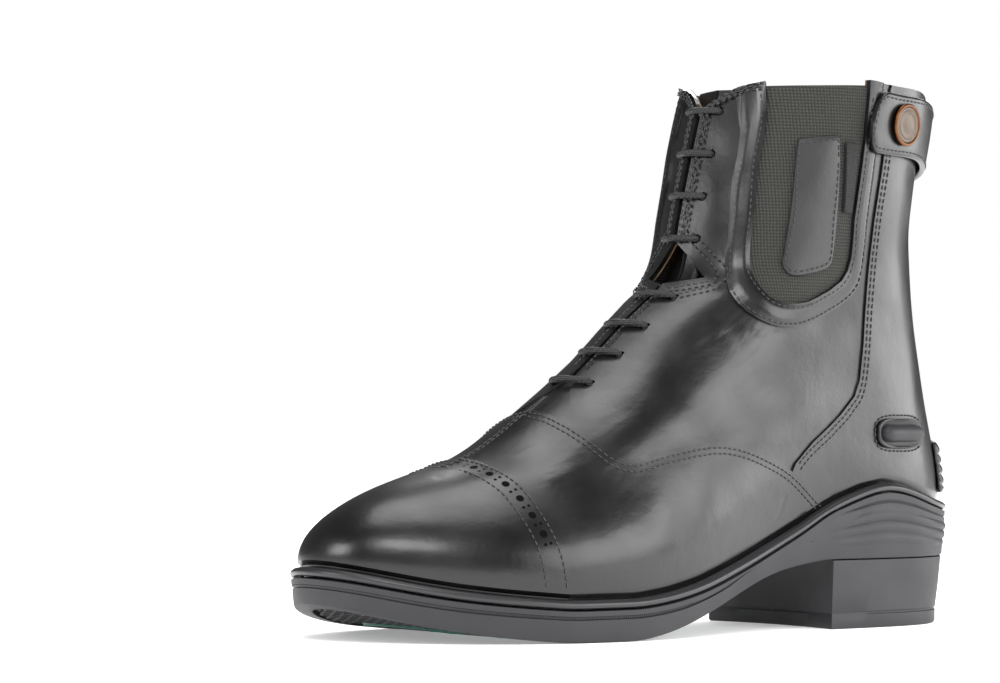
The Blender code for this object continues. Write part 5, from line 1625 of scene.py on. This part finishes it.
@dataclass
class Zip:
    """The closed zip down the back, with its two staggered rows of teeth."""

    foot: float = 0.385
    pitch: float = 1.3 * MM
    tooth: tuple[float, float, float] = (1.1 * MM, 0.36 * MM, 0.4 * MM)

    def build(self, frame: dict) -> bpy.types.Object:
        """Dresses the tape and sets the teeth on it."""
        dress(frame, "zip", ZIP_COIL)
        top = float(LAST.collar_height(np.array([pi]))[0]) - 2.5 * MM
        heights = np.arange(self.foot * SHAFT_HEIGHT, top, self.pitch)
        turns = np.full(len(heights), pi)
        level = LAST.level_at(turns, heights)
        middle = LAST.outside(turns, level, 0.45 * MM)
        out = LAST.normals(turns, level)
        shift = np.where(np.arange(len(heights)) % 2, 0.55, -0.55)[:, None] * MM * np.array((0, 1.0, 0))
        across = np.broadcast_to(np.array((0, 1.0, 0)), middle.shape)
        block = bmesh.new()
        bmesh.ops.create_cube(block, size=2)
        bmesh.ops.bevel(block, geom=list(block.edges), offset=0.3, segments=2, affect="EDGES")
        teeth = scatter("zip_teeth", block, frames(middle + shift, across, out, self.tooth), TRIM_RUBBER, 40)
        return teeth


@dataclass
class Studio:
    """The camera at the photo's angle, a pale floor and plain soft light."""

    azimuth: float = -41.06
    pitch: float = -0.995
    roll: float = 0.669
    place: tuple[float, float, float] = (-0.858158, -0.910214, 0.075682)
    focal_px: float = 3674.7
    room: float = 0.10
    floor_glow: float = 0.30

    def camera(self) -> None:
        """Sets the camera."""
        a, p, r = (math.radians(value) for value in (self.azimuth, self.pitch, self.roll))
        ahead = Vector((-math.sin(a) * math.cos(p), math.cos(a) * math.cos(p), -math.sin(p)))
        right = ahead.cross(Vector((0, 0, 1))).normalized()
        up = right.cross(ahead)
        right, up = right * math.cos(r) + up * math.sin(r), up * math.cos(r) - right * math.sin(r)
        data = bpy.data.cameras.new("camera")
        data.sensor_width = 36
        data.lens = self.focal_px / 1000 * 36
        data.clip_start = 0.05
        camera = bpy.data.objects.new("camera", data)
        turn = Matrix((right, up, -ahead)).transposed().to_4x4()
        turn.translation = Vector(self.place) + Vector(LAST.shift)
        camera.matrix_world = turn
        bpy.context.scene.collection.objects.link(camera)
        bpy.context.scene.camera = camera

    def light(
        self, name: str, place: Sequence[float], aim: Sequence[float], size: Sequence[float], watts: float
    ) -> None:
        """Hangs one soft light."""
        data = bpy.data.lights.new(name, "AREA")
        data.shape = "RECTANGLE"
        data.size, data.size_y = size
        data.energy = watts
        lamp = bpy.data.objects.new(name, data)
        turn = (Vector(aim) - Vector(place)).to_track_quat("-Z", "Y").to_matrix().to_4x4()
        turn.translation = Vector(place)
        lamp.matrix_world = turn
        bpy.context.scene.collection.objects.link(lamp)

    def build(self) -> None:
        """Sets the camera, the floor, the backdrop and the lights."""
        self.camera()
        work = bmesh.new()
        bmesh.ops.create_grid(work, x_segments=2, y_segments=2, size=6)
        mesh = bpy.data.meshes.new("floor")
        work.to_mesh(mesh)
        work.free()
        floor = bpy.data.objects.new("floor", mesh)
        bpy.context.scene.collection.objects.link(floor)
        paper = Finish("studio_floor", "#f4f4f4", 0.9, specular=0.1).material()
        shader = next(node for node in paper.node_tree.nodes if node.type == "BSDF_PRINCIPLED")
        shader.inputs["Emission Color"].default_value = linear("#ffffff")
        shader.inputs["Emission Strength"].default_value = self.floor_glow
        mesh.materials.append(paper)
        world = bpy.data.worlds.new("studio")
        world.use_nodes = True
        tree = world.node_tree
        back = tree.nodes["Background"]
        back.inputs["Color"].default_value = linear("#ffffff")
        way = add_node(tree, "ShaderNodeLightPath")
        dim = add_node(
            tree,
            "ShaderNodeMapRange",
            {"To Min": 1.0, "To Max": self.room},
            {"Value": way.outputs["Is Glossy Ray"]},
        )
        tree.links.new(dim.outputs["Result"], back.inputs["Strength"])
        bpy.context.scene.world = world
        bpy.context.scene.view_settings.view_transform = "Standard"
        self.light("key", (-0.75, -0.75, 0.95), (0.0, 0, 0.06), (0.75, 0.45), 11)
        self.light("side", (0.60, -1.15, 0.45), (0.02, 0, 0.07), (0.9, 0.7), 11)
        self.light("heel", (1.25, -0.50, 0.30), (0.09, 0, 0.06), (0.7, 0.5), 6)
        self.light("top", (0.1, 0.1, 1.3), (0.0, 0, 0.06), (0.9, 0.7), 8)
        self.light("toe", (-1.2, 0.25, 0.5), (-0.08, 0, 0.05), (0.5, 0.5), 6)
        self.light("rim", (0.9, 0.8, 0.8), (0.05, 0, 0.1), (0.6, 0.6), 8)


def align(box: tuple[Vector, Vector]) -> None:
    """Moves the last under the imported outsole, from the outsole's box."""
    turns = np.arange(CAD_COLUMNS) * 2 * pi / CAD_COLUMNS
    rims = LAST.rim_level(turns)
    rings = [LAST.outside(turns, rims * share, GAP + WELT_REACH) for share in (0.35, 0.6, 1.0)]
    spots = np.concatenate(rings)
    middle = (np.array(box[0]) + np.array(box[1])) / 2
    drawn = (spots.min(0) + spots.max(0)) / 2
    LAST.shift = np.array((middle[0] - drawn[0], middle[1] - drawn[1], 0.0))
    LOG.info("last moved by %s mm", LAST.shift * 1000)


def sew_upper(stitching: Stitching) -> None:
    """Sews the seams of the upper."""
    proud = 0.10 * MM
    floor = 0.018
    for rows, aside, step, low, high in (
        (VAMP_SEAM, 1.7, 1.0, floor, 1.0),
        (VAMP_SEAM, 3.6, 1.0, floor, 1.0),
        (CAP_SEAM, 1.1, 2.0, floor, 1.0),
        (CAP_SEAM, 8.0, 2.0, floor, 1.0),
        (BACK_SEAM, -1.5, 0.9, BACK_SEAM_FOOT, 0.96),
        (BACK_SEAM, -3.4, 0.9, BACK_SEAM_FOOT, 0.96),
        (GUSSET_EDGE, 1.2, 1.4, 0.0, 0.985),
        (BAND_EDGE, -1.1, 1.4, 0.0, 0.985),
    ):
        stitching.offset_row(rows, aside * MM, step * OVERLAY + proud, low, high)


def main() -> None:
    """Builds the boot and its studio, and logs each piece."""
    logging.basicConfig(level=logging.INFO, format="%(name)s: %(message)s")
    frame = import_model()
    align(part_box("outsole"))
    LEATHERWORK.crease()
    Upper().build(frame)
    stitching = Stitching()
    sew_upper(stitching)
    Broguing().build()
    CupSole().build(frame)
    StrapAndSnap().build(stitching)
    Lacing().build()
    Shaft().build(stitching)
    SpurRests().build(stitching)
    edge_bands(stitching)
    stitching.finish()
    dress(frame, "insole", FOOTBED)
    Zip().build(frame)
    dress(frame, "heel_tab", TRIM_RUBBER)
    Studio().build()


if __name__ == "__main__":
    main()
